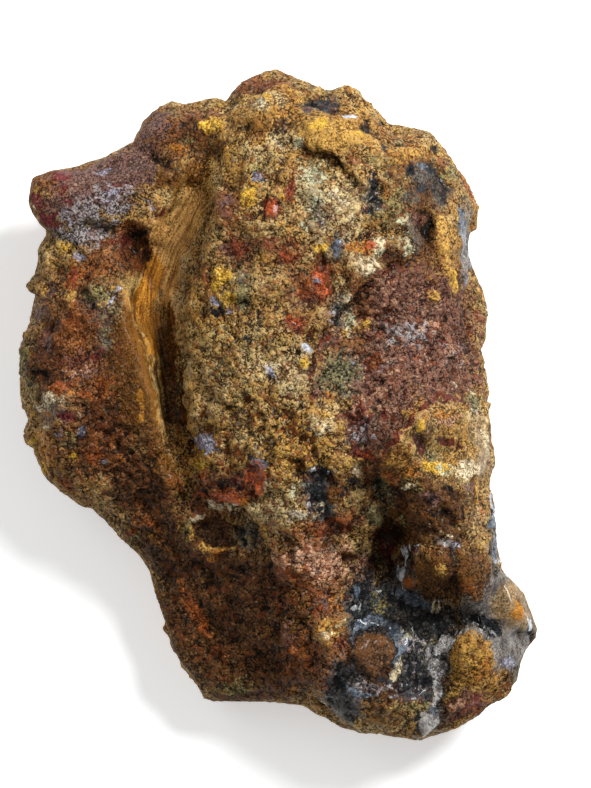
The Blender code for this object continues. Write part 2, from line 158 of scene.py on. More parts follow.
# Swellings and hollows: middle X and Y, half length, half width, turn in degrees, rise, squareness
SWELLINGS = {
    "plateau": (8.0, 17.0, 37.0, 22.5, 90, 9.0, 3.0),
    "plateau's right side": (27.0, 25.0, 20.0, 7.0, 90, -3.0, 1.0),
    "maroon hollow": (20.0, 9.0, 12.0, 8.5, 10, -2.2, 2.0),
    "horn": (-31.0, 33.5, 13.0, 5.0, 15, -2.0, 1.0),
    "hump over the horn": (-18.0, 45.5, 5.5, 4.5, 60, 2.0, 1.0),
    "pit under the horn": (-22.6, 23.8, 4.0, 2.0, 110, -2.4, 1.2),
    "left lobe": (-31.0, 8.0, 17.0, 7.0, 90, 1.2, 1.0),
    "fall to the lower left": (-17.5, -38.0, 27.0, 15.5, -52, -10.5, 1.2),
    "knob": (25.0, -8.0, 11.6, 9.8, 95, 5.2, 2.6),
    "skirt of the knob": (27.0, -18.5, 9.0, 6.8, 90, 4.8, 1.9),
    "blue basin": (20.0, -35.0, 18.0, 8.5, -40, -4.5, 1.5),
    "deep cavity": (17.7, -23.2, 5.2, 2.4, 84, -4.6, 1.5),
    "brown button": (15.4, -40.3, 4.2, 4.2, 0, 3.2, 1.8),
    "moss lump in the basin": (24.6, -28.2, 5.0, 4.4, 60, 4.6, 1.4),
    "moss lump at the right": (31.3, -28.0, 4.6, 3.6, 90, 4.0, 1.5),
    "golden moss lobe": (31.0, -41.5, 5.6, 5.0, 45, 6.0, 1.7),
    "red foot of the lobe": (30.5, -47.8, 4.2, 2.6, 20, 2.6, 1.3),
    "olive lump": (18.8, -49.2, 6.0, 2.8, -5, 3.6, 1.3),
    "clear nodule": (38.0, -33.4, 6.0, 3.6, 70, 2.0, 1.2),
    "boxy recess": (-10.0, -20.4, 3.7, 2.8, -5, -2.0, 2.0),
    "second recess": (-5.4, -20.6, 2.0, 2.2, 0, -1.6, 1.6),
    "pit by the rib": (23.6, 28.6, 4.2, 1.7, 84, -3.0, 1.2),
    "dark hollow": (24.8, 35.2, 3.8, 3.0, -30, -1.8, 1.2),
    "small dark hollow": (15.4, 34.0, 1.7, 1.5, 0, -1.8, 1.0),
    "yellow lump": (9.2, 42.6, 6.5, 3.0, -12, 2.2, 1.4),
    "second yellow lump": (20.4, 40.8, 4.6, 2.7, -20, 1.8, 1.3),
    "yellow brow": (-2.8, 46.8, 6.0, 2.2, -3, 1.4, 1.2),
    "ochre rim": (6.0, -4.2, 6.4, 2.7, 95, 1.6, 1.4),
    "lip under the maroon": (14.0, -9.0, 3.8, 1.3, 0, 1.2, 1.2),
    "veined hollow": (6.0, -13.0, 5.6, 2.4, 78, -1.6, 1.2),
    "gap over the knob": (19.5, -0.6, 5.0, 2.0, 40, -1.4, 1.2),
    "ochre step": (16.0, -13.6, 3.2, 1.6, -60, -1.2, 1.4),
    "rusty hollow": (-30.0, 7.0, 5.5, 4.0, 70, -1.4, 1.4),
    "lump at the left edge": (-36.0, -1.0, 4.5, 2.8, 60, 1.6, 1.3),
    "jasper hollow": (-5.5, 23.5, 4.5, 3.0, 20, -1.2, 1.3),
    "red hollow": (6.5, 19.5, 5.0, 3.4, 70, -1.2, 1.3),
    "greenish crest": (6.0, 36.5, 5.5, 2.6, 70, 1.2, 1.2),
    "crescent hollow": (14.4, 26.4, 3.2, 2.4, 60, -1.8, 1.5),
    "head of the spur": (5.5, -22.0, 8.5, 6.0, 80, 1.6, 1.9),
}

# Forms round the sides: middle as an angle in degrees from +X and a height, half length along the side,
# half height, turn, rise, squareness
FLANK_FORMS = {
    "long hollow in the right side": (4, 8.0, 15.0, 4.0, 6, -2.6, 1.3),
    "scar at the right": (27, 16.5, 8.0, 4.5, -25, -2.0, 1.6),
    "block at the upper right": (47, 6.0, 9.0, 4.5, 12, 1.8, 1.8),
    "notch at the top right": (66, 12.0, 4.0, 9.0, 10, -2.6, 1.3),
    "hollow under the brow": (93, 7.0, 13.0, 3.6, 4, -3.0, 1.4),
    "chip in the brow": (82, 19.5, 5.0, 3.5, 0, -1.8, 1.5),
    "block under the hump": (116, 5.5, 8.0, 4.0, -12, 1.8, 1.6),
    "cleft beside the horn": (130, 11.0, 3.2, 10.0, 12, -2.8, 1.2),
    "scoop under the horn": (147, 7.0, 9.0, 3.8, -12, -2.2, 1.4),
    "step in the left side": (172, 4.5, 12.0, 2.6, 8, 1.4, 1.6),
    "hollow in the left side": (185, 14.0, 7.0, 3.4, -14, -1.4, 1.3),
    "chip at the lower left": (212, 13.0, 8.0, 4.5, 25, -2.4, 1.8),
    "long chip at the lower left": (233, 6.0, 11.0, 3.6, 10, -1.8, 1.6),
    "step at the bottom": (258, 4.5, 10.0, 2.6, -5, 1.4, 1.6),
    "hollow at the bottom": (272, 14.0, 8.0, 3.6, 12, -2.0, 1.4),
    "scoop under the foot": (303, 7.0, 10.0, 4.0, 8, -2.4, 1.4),
    "chip by the nodule": (331, 8.0, 8.0, 4.5, -20, -2.0, 1.7),
}
MM_PER_DEGREE = 0.8

# Ridges and furrows: squareness, then points with X, Y, the widths to the left and to the right of the
# way, and the rise
ROUTES = {
    "flute": (2.0, [
        (-11.0, 41.6, 1.7, 1.7, -1.4), (-11.6, 35.6, 2.1, 2.1, -3.8), (-13.8, 31.0, 3.4, 3.2, -5.8),
        (-17.0, 25.0, 4.2, 3.7, -6.8), (-19.0, 19.4, 4.4, 4.1, -7.0), (-19.1, 13.6, 4.0, 3.9, -7.0),
        (-18.0, 7.6, 3.5, 3.2, -6.6),
        (-17.0, 2.6, 2.9, 3.0, -5.8), (-16.3, -2.6, 3.0, 2.8, -4.8), (-15.0, -9.0, 3.6, 2.8, -3.2),
        (-13.2, -15.4, 4.0, 3.2, -1.0),
    ]),
    "bank left of the flute": (1.0, [
        (-25.0, 17.0, 1.8, 4.5, 0.8), (-23.4, 11.0, 2.0, 5.5, 2.0), (-21.4, 5.0, 2.0, 5.5, 2.0),
        (-20.8, -1.8, 2.4, 4.5, 1.3), (-18.8, -9.0, 3.0, 3.5, 0.8),
    ]),
    "horn's ridge": (1.2, [
        (-38.5, 33.8, 3.2, 3.4, 1.0), (-30.0, 34.6, 3.4, 3.8, 2.8), (-21.5, 36.4, 3.4, 3.6, 2.6),
        (-16.5, 39.4, 3.0, 3.0, 0.8),
    ]),
    "hollow under the horn": (1.0, [
        (-36.5, 28.2, 1.6, 3.6, -1.0), (-29.0, 28.4, 1.3, 5.0, -2.4), (-23.4, 26.8, 1.4, 4.0, -2.2),
    ]),
    "saddle by the hump": (1.0, [(-22.5, 40.6, 2.0, 2.0, -1.0), (-15.0, 41.6, 2.2, 2.2, -1.6)]),
    "step behind the brow": (1.0, [
        (-8.6, 48.6, 2.0, 1.2, -1.4), (-2.6, 49.6, 2.2, 1.0, -2.4), (3.8, 50.4, 2.0, 1.0, -1.0),
    ]),
    "ledge under the yellow lump": (1.0, [
        (2.6, 41.0, 0.9, 3.5, -1.0), (7.4, 39.4, 0.9, 4.0, -2.2), (11.2, 36.4, 0.9, 3.5, -1.4),
    ]),
    "red-brown spur": (1.2, [
        (-0.5, -14.0, 5.0, 5.0, 1.0), (3.4, -25.0, 5.0, 6.0, 3.4), (5.8, -34.7, 4.5, 6.5, 3.0),
        (7.4, -44.3, 4.0, 6.0, 2.4),
    ]),
    "gold rib": (1.0, [
        (24.1, 32.2, 1.6, 1.4, 1.0), (26.0, 26.3, 1.6, 1.4, 2.2), (27.6, 19.0, 1.6, 1.6, 1.6),
    ]),
    "crease by the nodule": (1.0, [
        (34.2, -24.6, 1.4, 1.4, -1.0), (35.4, -31.8, 1.4, 1.4, -1.4), (35.0, -34.4, 1.2, 1.4, -0.6),
    ]),
    "lip of the recess": (1.0, [
        (-14.0, -21.4, 1.0, 1.2, 0.8), (-11.6, -23.6, 1.0, 1.4, 1.4), (-8.4, -23.6, 1.0, 1.4, 1.4),
        (-6.8, -22.4, 0.9, 1.0, 0.8),
    ]),
    "step into the maroon": (1.4, [
        (19.0, 22.0, 6.0, 0.9, -0.6), (11.5, 14.5, 7.0, 0.9, -1.4), (5.5, 9.0, 7.0, 0.9, -1.5),
        (4.6, 3.0, 7.0, 0.9, -1.4), (8.6, -4.5, 6.0, 0.9, -0.8),
    ]),
    "brow of the knob": (1.2, [
        (14.5, -9.8, 0.9, 3.0, 0.8), (18.0, -5.6, 1.1, 4.5, 1.5), (21.4, -2.4, 1.1, 5.0, 1.6),
        (26.5, -0.6, 1.1, 5.0, 1.5), (32.0, -2.4, 1.2, 4.5, 0.8),
    ]),
    "crack over the lobe": (1.2, [
        (20.5, -32.4, 1.1, 1.1, -1.0), (27.0, -35.2, 1.1, 1.3, -1.4), (32.6, -35.4, 1.1, 1.3, -1.4),
        (36.0, -37.0, 1.0, 1.0, -0.8),
    ]),
    "scarp over the lower left": (1.5, [
        (-13.0, -14.5, 1.6, 4.0, -1.2), (-4.0, -17.5, 1.4, 4.0, -1.2), (1.0, -21.5, 1.4, 4.0, -0.8),
    ]),
}

# Stretches where the rind is smooth: middle X and Y, half length, half width, turn, share
SMOOTH_STRETCHES = [
    (-30.0, 34.6, 14.0, 6.0, 12, 0.85), (-19.0, 44.0, 6.0, 5.0, 50, 0.70),
    (-14.4, 30.8, 12.0, 3.6, 66, 0.90), (-20.0, 15.0, 12.0, 4.6, 90, 0.90),
    (-20.8, 3.0, 9.5, 3.4, 108, 0.75), (26.0, -8.0, 9.0, 9.0, 0, 0.45),
]

# Stretches in the same way where the crust is finer and less mixed, or coarser where the share is under 0
FINER_STRETCHES = [
    (26.0, -8.0, 9.0, 9.0, 0, 0.55), (26.0, 30.0, 14.0, 5.0, 95, 0.45), (-23.0, 5.0, 12.0, 4.2, 98, 0.55),
    (-32.5, 12.0, 8.0, 6.0, 90, 0.30), (38.0, -33.0, 5.0, 6.5, 0, 0.70), (9.0, 43.5, 8.0, 4.0, -8, 0.40),
    (28.0, -29.0, 7.0, 9.0, 0, 0.25), (15.6, -40.2, 4.0, 4.4, 0, 0.50), (-10.2, -20.4, 3.4, 2.6, 0, 0.60),
    (17.8, -23.4, 2.8, 4.6, 8, 0.60), (-3.0, -8.0, 11.0, 9.0, 0, -0.70), (5.0, -29.0, 7.0, 12.0, 0, -0.85),
]
FINER_LIMITS = (-0.9, 0.8)
STRETCH_SQUARENESS = 2.0

# Fine ridges and grooves that only the fine mesh has, as routes of one squareness
FINE_ROUTES = {
    "rim of the plateau": [
        (-10.6, 34.5, 0.9, 0.9, 0.1), (-12.4, 30.0, 1.0, 1.0, 0.5), (-14.2, 24.6, 1.2, 1.0, 0.6),
        (-15.5, 19.3, 1.2, 1.0, 0.6), (-15.9, 14.3, 1.2, 0.9, 0.6), (-14.9, 9.4, 1.2, 0.9, 0.6),
        (-14.0, 4.0, 1.2, 0.9, 0.5), (-13.5, 0.0, 1.0, 0.9, 0.1),
    ],
    "fold under the hump": [
        (-22.6, 41.6, 0.7, 0.9, -0.3), (-19.6, 39.7, 0.7, 1.0, -0.5), (-17.3, 38.6, 0.7, 1.0, -0.4),
        (-15.4, 36.8, 0.7, 0.8, -0.2),
    ],
    "fold in the knob": [
        (21.8, -4.0, 0.9, 1.1, -0.3), (23.0, -6.2, 1.0, 1.2, -0.8), (24.2, -8.4, 0.9, 1.1, -0.3),
    ],
    "gap in the moss": [
        (28.6, -22.6, 0.8, 0.8, -0.3), (28.4, -27.0, 0.8, 0.8, -0.9), (28.0, -31.6, 0.8, 0.8, -0.4),
    ],
    "fold under the knob": [
        (15.4, -11.6, 0.7, 0.8, -0.4), (16.4, -15.0, 0.7, 0.9, -1.1), (17.4, -18.6, 0.7, 0.9, -0.6),
    ],
    "streaks under the knob": [
        (24.4, -14.0, 0.5, 0.6, -0.4), (26.6, -17.0, 0.5, 0.6, -0.7), (28.4, -19.4, 0.5, 0.6, -0.3),
    ],
    "crest on the left lobe": [
        (-34.2, 18.6, 0.6, 0.7, 0.3), (-33.0, 16.0, 0.6, 0.8, 0.7), (-30.8, 13.4, 0.6, 0.8, 0.2),
    ],
    "crack in the plateau": [
        (-9.6, 35.6, 0.4, 0.4, -0.3), (-8.0, 34.8, 0.4, 0.4, -0.6), (-6.4, 34.0, 0.4, 0.4, -0.2),
    ],
    "rim of the recess": [
        (-14.2, -18.8, 0.6, 0.8, 0.3), (-14.6, -21.8, 0.6, 0.8, 0.6), (-11.6, -23.6, 0.6, 0.8, 0.7),
        (-7.6, -23.2, 0.6, 0.8, 0.5),
    ],
    "broken rim in the basin": [
        (28.2, -37.2, 0.5, 0.8, 0.4), (26.2, -39.6, 0.5, 0.8, 0.8), (25.0, -43.0, 0.5, 0.8, 0.8),
        (25.2, -47.6, 0.5, 0.8, 0.6), (23.4, -52.0, 0.6, 0.8, 0.3),
    ],
}
FINE_SQUARENESS = 1.0

# What the rind is made of, in the order in which it is laid on: light and dark tone (sRGB), gloss, rise in
# millimetres, how much of it is strewn, mostly over the sides that face away, how ragged its patches are,
# and how softly they blend where that isn't as usual. The grounds come first
# The umber ground, the umber and the black pits are partly painted shade
Mineral = namedtuple("Mineral", "light dark gloss rise scatter ragged blend", defaults=[None])
MINERALS = {
    "gold ground": Mineral((180, 130, 56), (56, 34, 12), 0, 0, 0.45, 0.6, 0.22),
    "cream ground": Mineral((208, 184, 132), (84, 62, 38), 0, 0, 0.25, 0.6, 0.22),
    "red-brown ground": Mineral((138, 84, 48), (46, 20, 10), 0, 0, 0.45, 0.6, 0.22),
    # Partly dark brown rind, partly painted shade laid in hollows and on slopes that face away from the key
    # lamp
    "umber ground": Mineral((84, 39, 10), (14, 6, 1), 0.1, 0, 0.45, 0.6, 0.22),
    "grey ground": Mineral((94, 92, 84), (20, 21, 22), 0.3, 0, 0.2, 0.6, 0.2),
    "basin ground": Mineral((68, 75, 82), (10, 12, 15), 0.5, 0, 0.05, 0.6, 0.2),
    "clear haze": Mineral((142, 136, 130), (72, 68, 66), 0.8, 0, 0, 0.25, 0.22),
    "honey haze": Mineral((172, 142, 100), (100, 76, 45), 0.6, 0, 0, 0.3, 0.2),
    "russet": Mineral((146, 86, 38), (60, 28, 12), 0.1, 0, 0.4, 0.8),
    "brown moss": Mineral((106, 68, 26), (23, 13, 4), 0, 0.1, 0.3, 0.6),
    "golden moss": Mineral((180, 132, 58), (66, 41, 14), 0, 0.12, 0.1, 0.7),
    "olive crust": Mineral((146, 132, 80), (44, 38, 22), 0, 0.1, 0.4, 0.9),
    "maroon clay": Mineral((130, 90, 74), (40, 21, 17), 0, -0.05, 0.3, 0.8),
    "plum skin": Mineral((124, 90, 80), (43, 26, 24), 0.12, 0, 0.1, 0.7),
    "brown skin": Mineral((110, 68, 20), (46, 25, 6), 0.12, 0, 0, 0.5),
    "tan skin": Mineral((210, 162, 94), (122, 82, 38), 0.15, 0, 0, 0.5),
    "amber skin": Mineral((194, 131, 46), (100, 60, 14), 0.22, 0, 0, 0.5),
    # Partly dark brown bands, partly painted shade along creases, folds, gaps and valleys
    "umber": Mineral((76, 46, 19), (19, 10, 4), 0.05, -0.2, 0.4, 0.9),
    "ox blood": Mineral((104, 36, 22), (40, 12, 8), 0.2, -0.05, 0.1, 0.5),
    "ink chalcedony": Mineral((30, 34, 39), (7, 8, 10), 0.36, -0.12, 0, 0.7, 0.08),
    "slate chalcedony": Mineral((110, 120, 132), (50, 56, 66), 0.8, 0.1, 0, 0.45),
    "rust": Mineral((160, 84, 32), (74, 31, 11), 0.05, 0.05, 0.4, 0.8),
    "orange clay": Mineral((186, 120, 46), (90, 50, 17), 0, 0.18, 0.38, 0.8),
    "gold clay": Mineral((196, 152, 74), (98, 66, 27), 0, 0.28, 0.44, 0.9),
    "lemon clay": Mineral((228, 182, 66), (136, 94, 28), 0, 0.3, 0.3, 0.6),
    "cream crust": Mineral((226, 210, 172), (120, 98, 68), 0, 0.2, 0.24, 0.8),
    "green crust": Mineral((190, 186, 150), (88, 84, 58), 0.05, 0.1, 0.22, 0.9),
    "sage crust": Mineral((130, 122, 84), (34, 32, 22), 0, 0.1, 0.1, 0.8),
    "brick jasper": Mineral((132, 64, 38), (62, 25, 14), 0.2, -0.05, 0.28, 0.9, 0.16),
    "ember": Mineral((200, 92, 42), (106, 38, 16), 0.45, 0, 0, 0.8, 0.16),
    "crimson": Mineral((124, 46, 50), (44, 14, 18), 0.15, 0, 0.1, 0.7),
    "rose speckle": Mineral((196, 150, 118), (94, 58, 42), 0.05, 0.05, 0.18, 1),
    "ash speckle": Mineral((160, 150, 148), (56, 48, 51), 0.1, 0.05, 0.12, 1),
    "lavender chalcedony": Mineral((172, 170, 186), (84, 80, 92), 0.4, 0.05, 0.06, 0.5),
    "pale chalcedony": Mineral((176, 172, 168), (92, 88, 86), 0.45, 0.12, 0, 0.35),
    "milk chalcedony": Mineral((206, 208, 212), (120, 122, 130), 0.7, 0.12, 0.05, 0.5),
    "brown button": Mineral((104, 68, 38), (40, 24, 12), 0.2, 0.1, 0, 0.4),
    # Partly black manganese, partly painted shade in the pits
    "black pits and painted shade": Mineral((32, 22, 15), (9, 6, 4), 0.15, -0.4, 0.14, 0.6),
}

# The patches of each on the upper side: middle X and Y, half sizes, turn in degrees, strength (under 1
# the patch is broken up)
PATCHES = {
    "gold ground": [
        (4, 45, 13, 5.5, -5, 0.95), (-10, 38, 6, 8, 0, 0.8), (-15, -8, 4, 8, 15, 0.7),
        (4, -6, 6, 7, 0, 0.8), (-12, 16, 5, 9, 0, 0.6), (27, 24, 3, 8, 0, 0.7), (-36, -8, 6, 4, -50, 0.85),
        (-6, -6, 10, 6, 0, 0.7), (1, -9, 3.5, 4, 0, 1), (18.5, -9, 3, 4, 0, 0.8), (28, -7, 5.5, 5, 0, 0.55),
        (31, -42, 4, 5, 0, 0.6), (30, -3, 3, 3, 0, 0.5), (20, 41, 5, 4, -30, 0.8),
    ],
    "cream ground": [
        (10.5, 31.5, 3.6, 4.6, 10, 0.95), (5.2, 33.5, 2.6, 5.5, 12, 0.8), (-2.5, 48.5, 4, 1.6, 8, 0.8),
        (2.5, 5, 3.4, 4.6, -10, 0.85), (-3, 6, 4, 3, 0, 0.62), (14, 22.3, 2.4, 1.8, -30, 0.95),
        (-1, -17.5, 6, 2.4, -8, 0.7), (32.2, -6, 1.4, 4, 4, 0.85), (31.5, -1.5, 2, 1.6, 0, 0.8),
        (-31.5, 27, 4.5, 2, 4, 0.8), (-36, -1.5, 2.6, 2, 0, 0.7), (7, -2.5, 2.4, 3, 0, 0.85),
        (10.5, 18, 1.6, 3, 0, 0.8), (0.5, 42.5, 2.6, 2, 0, 0.8), (-9.5, 35.5, 1.5, 4, 0, 0.6),
        (15.5, 13, 3, 1.8, 0, 0.7), (13, -51.5, 4, 1, -8, 0.8), (-4, 40, 3, 3, 0, 0.55),
        # The narrow patches along the plateau's left rim, the last two on this line and the first on the
        # next, are partly pale crust and partly painted highlight on its lit edge
        (-10, 3, 3, 6, 0, 0.5), (-14.2, 24.6, 4, 0.7, 72, 0.85), (-15.7, 16, 5, 0.7, 88, 0.85),
        (-14.4, 7, 4, 0.7, 102, 0.8), (-3, -8, 7, 5, 0, 0.42), (31.6, -12, 1.4, 5, 0, 0.75),
        (14, -51.8, 5, 0.9, -8, 0.9), (2, -13.4, 4, 3, 0, 0.5), (-6, -5.5, 4, 3, 0, 0.5),
    ],
    "red-brown ground": [
        (5, -29, 6, 9, 8, 0.95), (8, -41, 5, 7, 0, 0.85), (-31, 9, 7, 12, 0, 1), (-31, 35, 11, 6, 15, 1),
        (-19, 44, 5, 6, 50, 1), (16, -8, 4, 3, 30, 0.8), (-26, 25, 7, 4, 0, 0.95), (-30, -6, 8, 7, 0, 0.85),
        (-4, 51.8, 7, 1.8, 5, 1), (4, 20, 6, 7, 0, 0.6), (-9, -13, 6, 3, 0, 0.9), (30, -49, 5, 3, 20, 0.85),
        (20, 12, 14, 12, 0, 0.9), (-36, 18, 4, 5, 0, 0.6), (20, 31, 4, 4, 0, 0.62),
        (-6.5, 25, 3, 3, 0, 0.9), (-8, 31.5, 2.4, 4, 0, 0.85), (1, 24, 4, 2.4, 0, 0.85),
        (9.5, -19.5, 5, 2.4, 25, 0.9), (-14, 45.5, 3, 4, 0, 0.8), (19, 43.5, 4, 1.4, -20, 0.7),
        (-12, -17, 6, 4, -20, 0.7), (-21, -14, 5, 5, 0, 0.6),
    ],
    # Umber ground: partly dark brown rind, partly painted shade in hollows, under the horn and the knob and
    # on the fall to the lower left
    "umber ground": [
        (-8, -34, 12, 11, -25, 1.2), (-17, -23, 9, 6, -45, 1.1), (-22, -13, 8, 5, -50, 0.95),
        (-4, -43, 10, 6, 0, 1.1), (-27, -3, 5, 7, 20, 0.85), (21, -18, 5, 6, 0, 1),
        (27, -22, 4, 3, 0, 0.85), (16.5, -14, 2.6, 5, 20, 0.95), (19, -46, 7, 5, 0, 0.95),
        (-14, 43.5, 4, 3, -20, 0.7), (24, 35, 4, 5, 0, 0.85), (30, 12, 4, 12, 0, 0.5),
        (23, 27, 3, 7, 0, 0.8), (20, 30, 5, 5, 0, 0.62), (8, -13.5, 4, 4, 0, 0.8), (-29, 21, 6, 3, 0, 0.58),
        (-37, 7, 3.4, 6, 0, 0.9), (14, 18, 3, 3, 0, 0.7), (19, 23, 3.5, 2.6, 0, 0.85),
        (-5, 24, 3, 3, 0, 0.5), (-11, -14, 4, 1.6, 0, 0.6), (24, -4.5, 3, 4, 20, 0.5),
        (-1, -8, 1.4, 3, 0, 0.5), (24.5, -17, 6, 5.5, 0, 1), (26, -27, 7, 6, 0, 0.8),
        (21.4, -16.4, 3.4, 5, 10, 1), (19, 37, 3, 2.4, -30, 0.6), (-22.4, 25, 3, 4.4, 0, 1.15),
    ],
    "grey ground": [
        (38.5, -37, 4, 9, 12, 1), (25.5, -46.5, 2.2, 7, 0, 1), (35, -22, 1.8, 9, -6, 1),
        (30.4, 26, 1.8, 7, 0, 0.9), (15, 33, 1.8, 3, 0, 0.8), (7, 48.5, 4, 1.8, 0, 0.75),
        (11, 4.6, 3.4, 3.6, 0, 0.95), (6.5, -15, 2.8, 4.6, 10, 0.8), (13, -5, 4, 2.4, 0, 0.7),
        (-28.5, 16.5, 4, 3.4, 0, 0.7), (-27.5, 11.5, 2, 3.4, 0, 0.75), (-31, 28, 6, 2, 6, 0.8),
        (-29, 32.5, 7, 2.6, 12, 0.85), (10, 15, 2.2, 3.4, 0, 0.8), (9.6, 25, 1.8, 2.4, 0, 0.9),
        (-5.6, 18, 1.5, 3.6, 0, 0.8), (22, 27, 1.4, 4, 0, 0.6), (-5, -21, 2, 2.4, 0, 0.85),
        (-36.5, -1, 3.4, 2.6, 30, 0.62), (6.6, 30, 2.4, 4, 0, 0.6), (16.5, -32, 2.4, 2.4, 0, 0.9),
        (23, 36.6, 3, 1.6, -40, 0.8), (26.4, 34, 1.6, 3, 10, 0.8), (21.4, 33, 1.6, 1.4, 0, 0.7),
    ],
    "basin ground": [
        (21.5, -39, 6, 7, 0, 1.3), (13.5, -33, 3, 6, 0, 1.2), (22.5, -32.8, 7, 3, -30, 1.2),
        (33, -35, 5, 2.6, -20, 1.1), (10.6, -46.5, 3.2, 5, 0, 1.1), (21, -45.6, 4, 2, 0, 0.9),
        (19.5, -28, 3, 4, 0, 0.8), (6.4, -15.4, 2.4, 4.4, 8, 0.8), (16, -34, 5, 3, 0, 1),
    ],
    "clear haze": [
        (37, -39.6, 2.6, 3.6, -10, 1.05), (32, -31.8, 2.6, 1.5, -10, 0.95), (30.4, -34.2, 2, 0.9, -10, 0.7),
        (31.5, -37.2, 3.6, 0.8, -8, 1), (26.5, -21.8, 1.8, 0.7, -10, 0.8), (35.8, -26, 0.8, 2.4, 25, 0.9),
        (34, -29.5, 1.4, 2, 0, 0.8), (34.4, -31.4, 1.8, 2.8, -10, 1.05), (36, -28.4, 1.4, 1.4, 0, 0.9),
        (40, -38, 1.2, 2.4, 10, 0.7), (29.8, 26, 0.8, 6, -3, 0.95),
    ],
    "honey haze": [
        (37.8, -32.6, 2.8, 3.8, 14, 1.15), (32.6, -7, 1.6, 5.4, 4, 0.9), (32, -15, 1.1, 5, 2, 0.8),
        (39, -36.4, 1.2, 1.4, 0, 0.6), (30.5, -10.5, 2.2, 1.6, 0, 0.8),
    ],
    "russet": [
        (-32.6, 12, 2.8, 3.2, 0, 1), (-33, 20.8, 2, 2, 0, 0.85), (-29, 22, 3.2, 1.2, 0, 0.75),
        (3.5, -31.5, 3, 5, 0, 0.8), (3, -40, 3.4, 5, 0, 0.7), (-7, 46, 2.4, 2, 0, 0.5),
        (-3.5, 51.8, 5, 1.4, 6, 1), (2, 52, 3, 1, -20, 0.6), (30, -29, 2, 2, 0, 0.6),
        (22, -10, 5, 3, 0, 0.46), (26, 39.3, 1.4, 0.9, -50, 0.7), (-22, -16, 4, 4, 0, 0.5),
        (-27, 2, 3, 3, 0, 0.6), (-16.5, 41, 1.4, 1, 0, 0.6), (-12, 21, 2, 2.6, 0, 0.6),
        (-10, -8, 5, 6, 0, 0.42), (12.2, 39.4, 1.2, 0.9, 0, 0.8), (-24.5, 28.4, 2.5, 1, 12, 0.8),
        (2, 18, 4, 3, 0, 0.42), (-7, 28.5, 2, 2, 0, 0.6), (-28, -8, 6, 5, 0, 0.55),
        (-33, -14, 5, 2, -30, 0.55), (-14.5, -31, 4, 1.4, -60, 0.6),
    ],
    "brown moss": [
        (25.4, -28.4, 3.2, 3.8, 10, 1.1), (31.2, -27, 2.3, 4.4, 8, 1.05), (28.3, -45, 1.6, 1.8, 0, 0.9),
        (35.6, -45, 2.4, 1.4, 40, 0.9), (18.6, -9.6, 2.2, 3.6, -30, 0.9), (21.2, -11.5, 1.6, 2, 0, 0.8),
        (3, -33.5, 3, 4.4, 10, 0.8), (-1.6, -37.4, 0.9, 1, 0, 0.9), (9.8, -14.6, 1.7, 2.2, 0, 0.9),
        (-7, -6.8, 1.4, 0.9, 0, 0.9), (31.5, -14, 1.4, 3.4, 0, 0.8), (19, -16.4, 1.6, 3, 14, 0.8),
        (23.4, -12.8, 2.4, 1.4, -20, 0.75),
    ],
    "golden moss": [
        (31.2, -41.6, 3.2, 4, -20, 1.1), (34.6, -44.6, 2, 1.4, 30, 0.8), (18.6, -9, 1.6, 2.4, -30, 0.6),
        (8, -36.6, 2.2, 2, 0, 0.85), (26, -27.4, 1.4, 1.2, 0, 0.5),
    ],
    "olive crust": [
        (-33, -6, 2.4, 2, 0, 0.6), (-40.2, 5, 1.2, 5.5, 8, 0.85), (28, 37.3, 1.6, 1.3, 0, 0.8),
        (19.5, 42.8, 1.4, 0.8, 0, 0.7), (-14, 43, 2, 2, 0, 0.5), (-7, -46, 4, 1.6, 0, 0.7),
        (24.5, -38, 1.4, 1.2, 0, 0.8), (23, -41.5, 2, 2.6, 0, 0.6), (25, -7, 3.4, 2.4, 0, 0.5),
        (-3.5, 37.5, 1.2, 0.8, 0, 0.8), (-17, 47.6, 2, 1.2, 0, 0.55), (15, 39, 3, 2, 0, 0.46),
        (-24, -22.5, 2, 2, -45, 0.6), (-5.5, 17, 1.4, 3.4, 5, 0.7), (-4.6, -21.8, 1, 1, 0, 0.7),
        (31, 0, 1.6, 1.6, 0, 0.75), (16.4, -32.4, 1.8, 1.8, 0, 0.6), (-9, 7, 3, 4, 0, 0.4),
        (-5, -17.4, 4.4, 1.5, -10, 0.42), (19, -48.8, 3.2, 1.8, -5, 0.5), (18, 32, 3.4, 5, 0, 0.6),
        (-31, -15.6, 4, 1.6, -28, 0.5), (23.2, -49.2, 3, 2, 0, 0.6), (21.6, -13, 2.4, 1.4, -20, 0.6),
        (19.8, -19, 1.2, 2, 10, 0.55), (29.6, -12.6, 1.6, 2, 0, 0.6), (-29, 18, 2.6, 1.8, 20, 0.7),
        (-27.4, 16, 1.8, 1.6, -30, 0.7), (-27.4, 11.4, 1.4, 3, 10, 0.55), (-14.8, -20.4, 1.2, 2.6, 10, 0.7),
    ],
    "maroon clay": [
        (23, 12, 9.5, 8.5, 0, 1.05), (26, 5, 6.5, 4, 0, 1), (20, 19, 6, 3.4, 0, 0.85),
        (15, -4, 5, 3.2, 30, 0.95), (8, 10, 3, 1.3, 40, 0.9), (7, 4, 1.4, 4, -10, 0.8),
        (18.5, -1, 3.4, 3, 40, 0.9), (27, 3, 4.5, 1.4, 0, 0.9), (-28.5, 8, 1.8, 1.6, 0, 0.7),
        (-31.5, 7.2, 3.6, 1.8, 0, 0.7), (-1, 31.8, 1.2, 1.2, 0, 0.6), (-8.2, 31.5, 1.6, 3, 10, 0.6),
        (22.5, 30, 1.8, 1.6, 0, 0.7), (1.5, -38, 1, 4.6, -8, 0.7), (28.5, -50, 1.6, 1.4, 0, 0.7),
        (-22, 44, 1.6, 2.4, 30, 0.7), (-23, 38.5, 4, 2, 30, 0.5), (10, -19.5, 4, 1.6, 28, 0.66),
        (17, 2.5, 4.4, 6, 30, 1), (12.6, -1.6, 4, 2, 30, 0.9),
    ],
    "plum skin": [
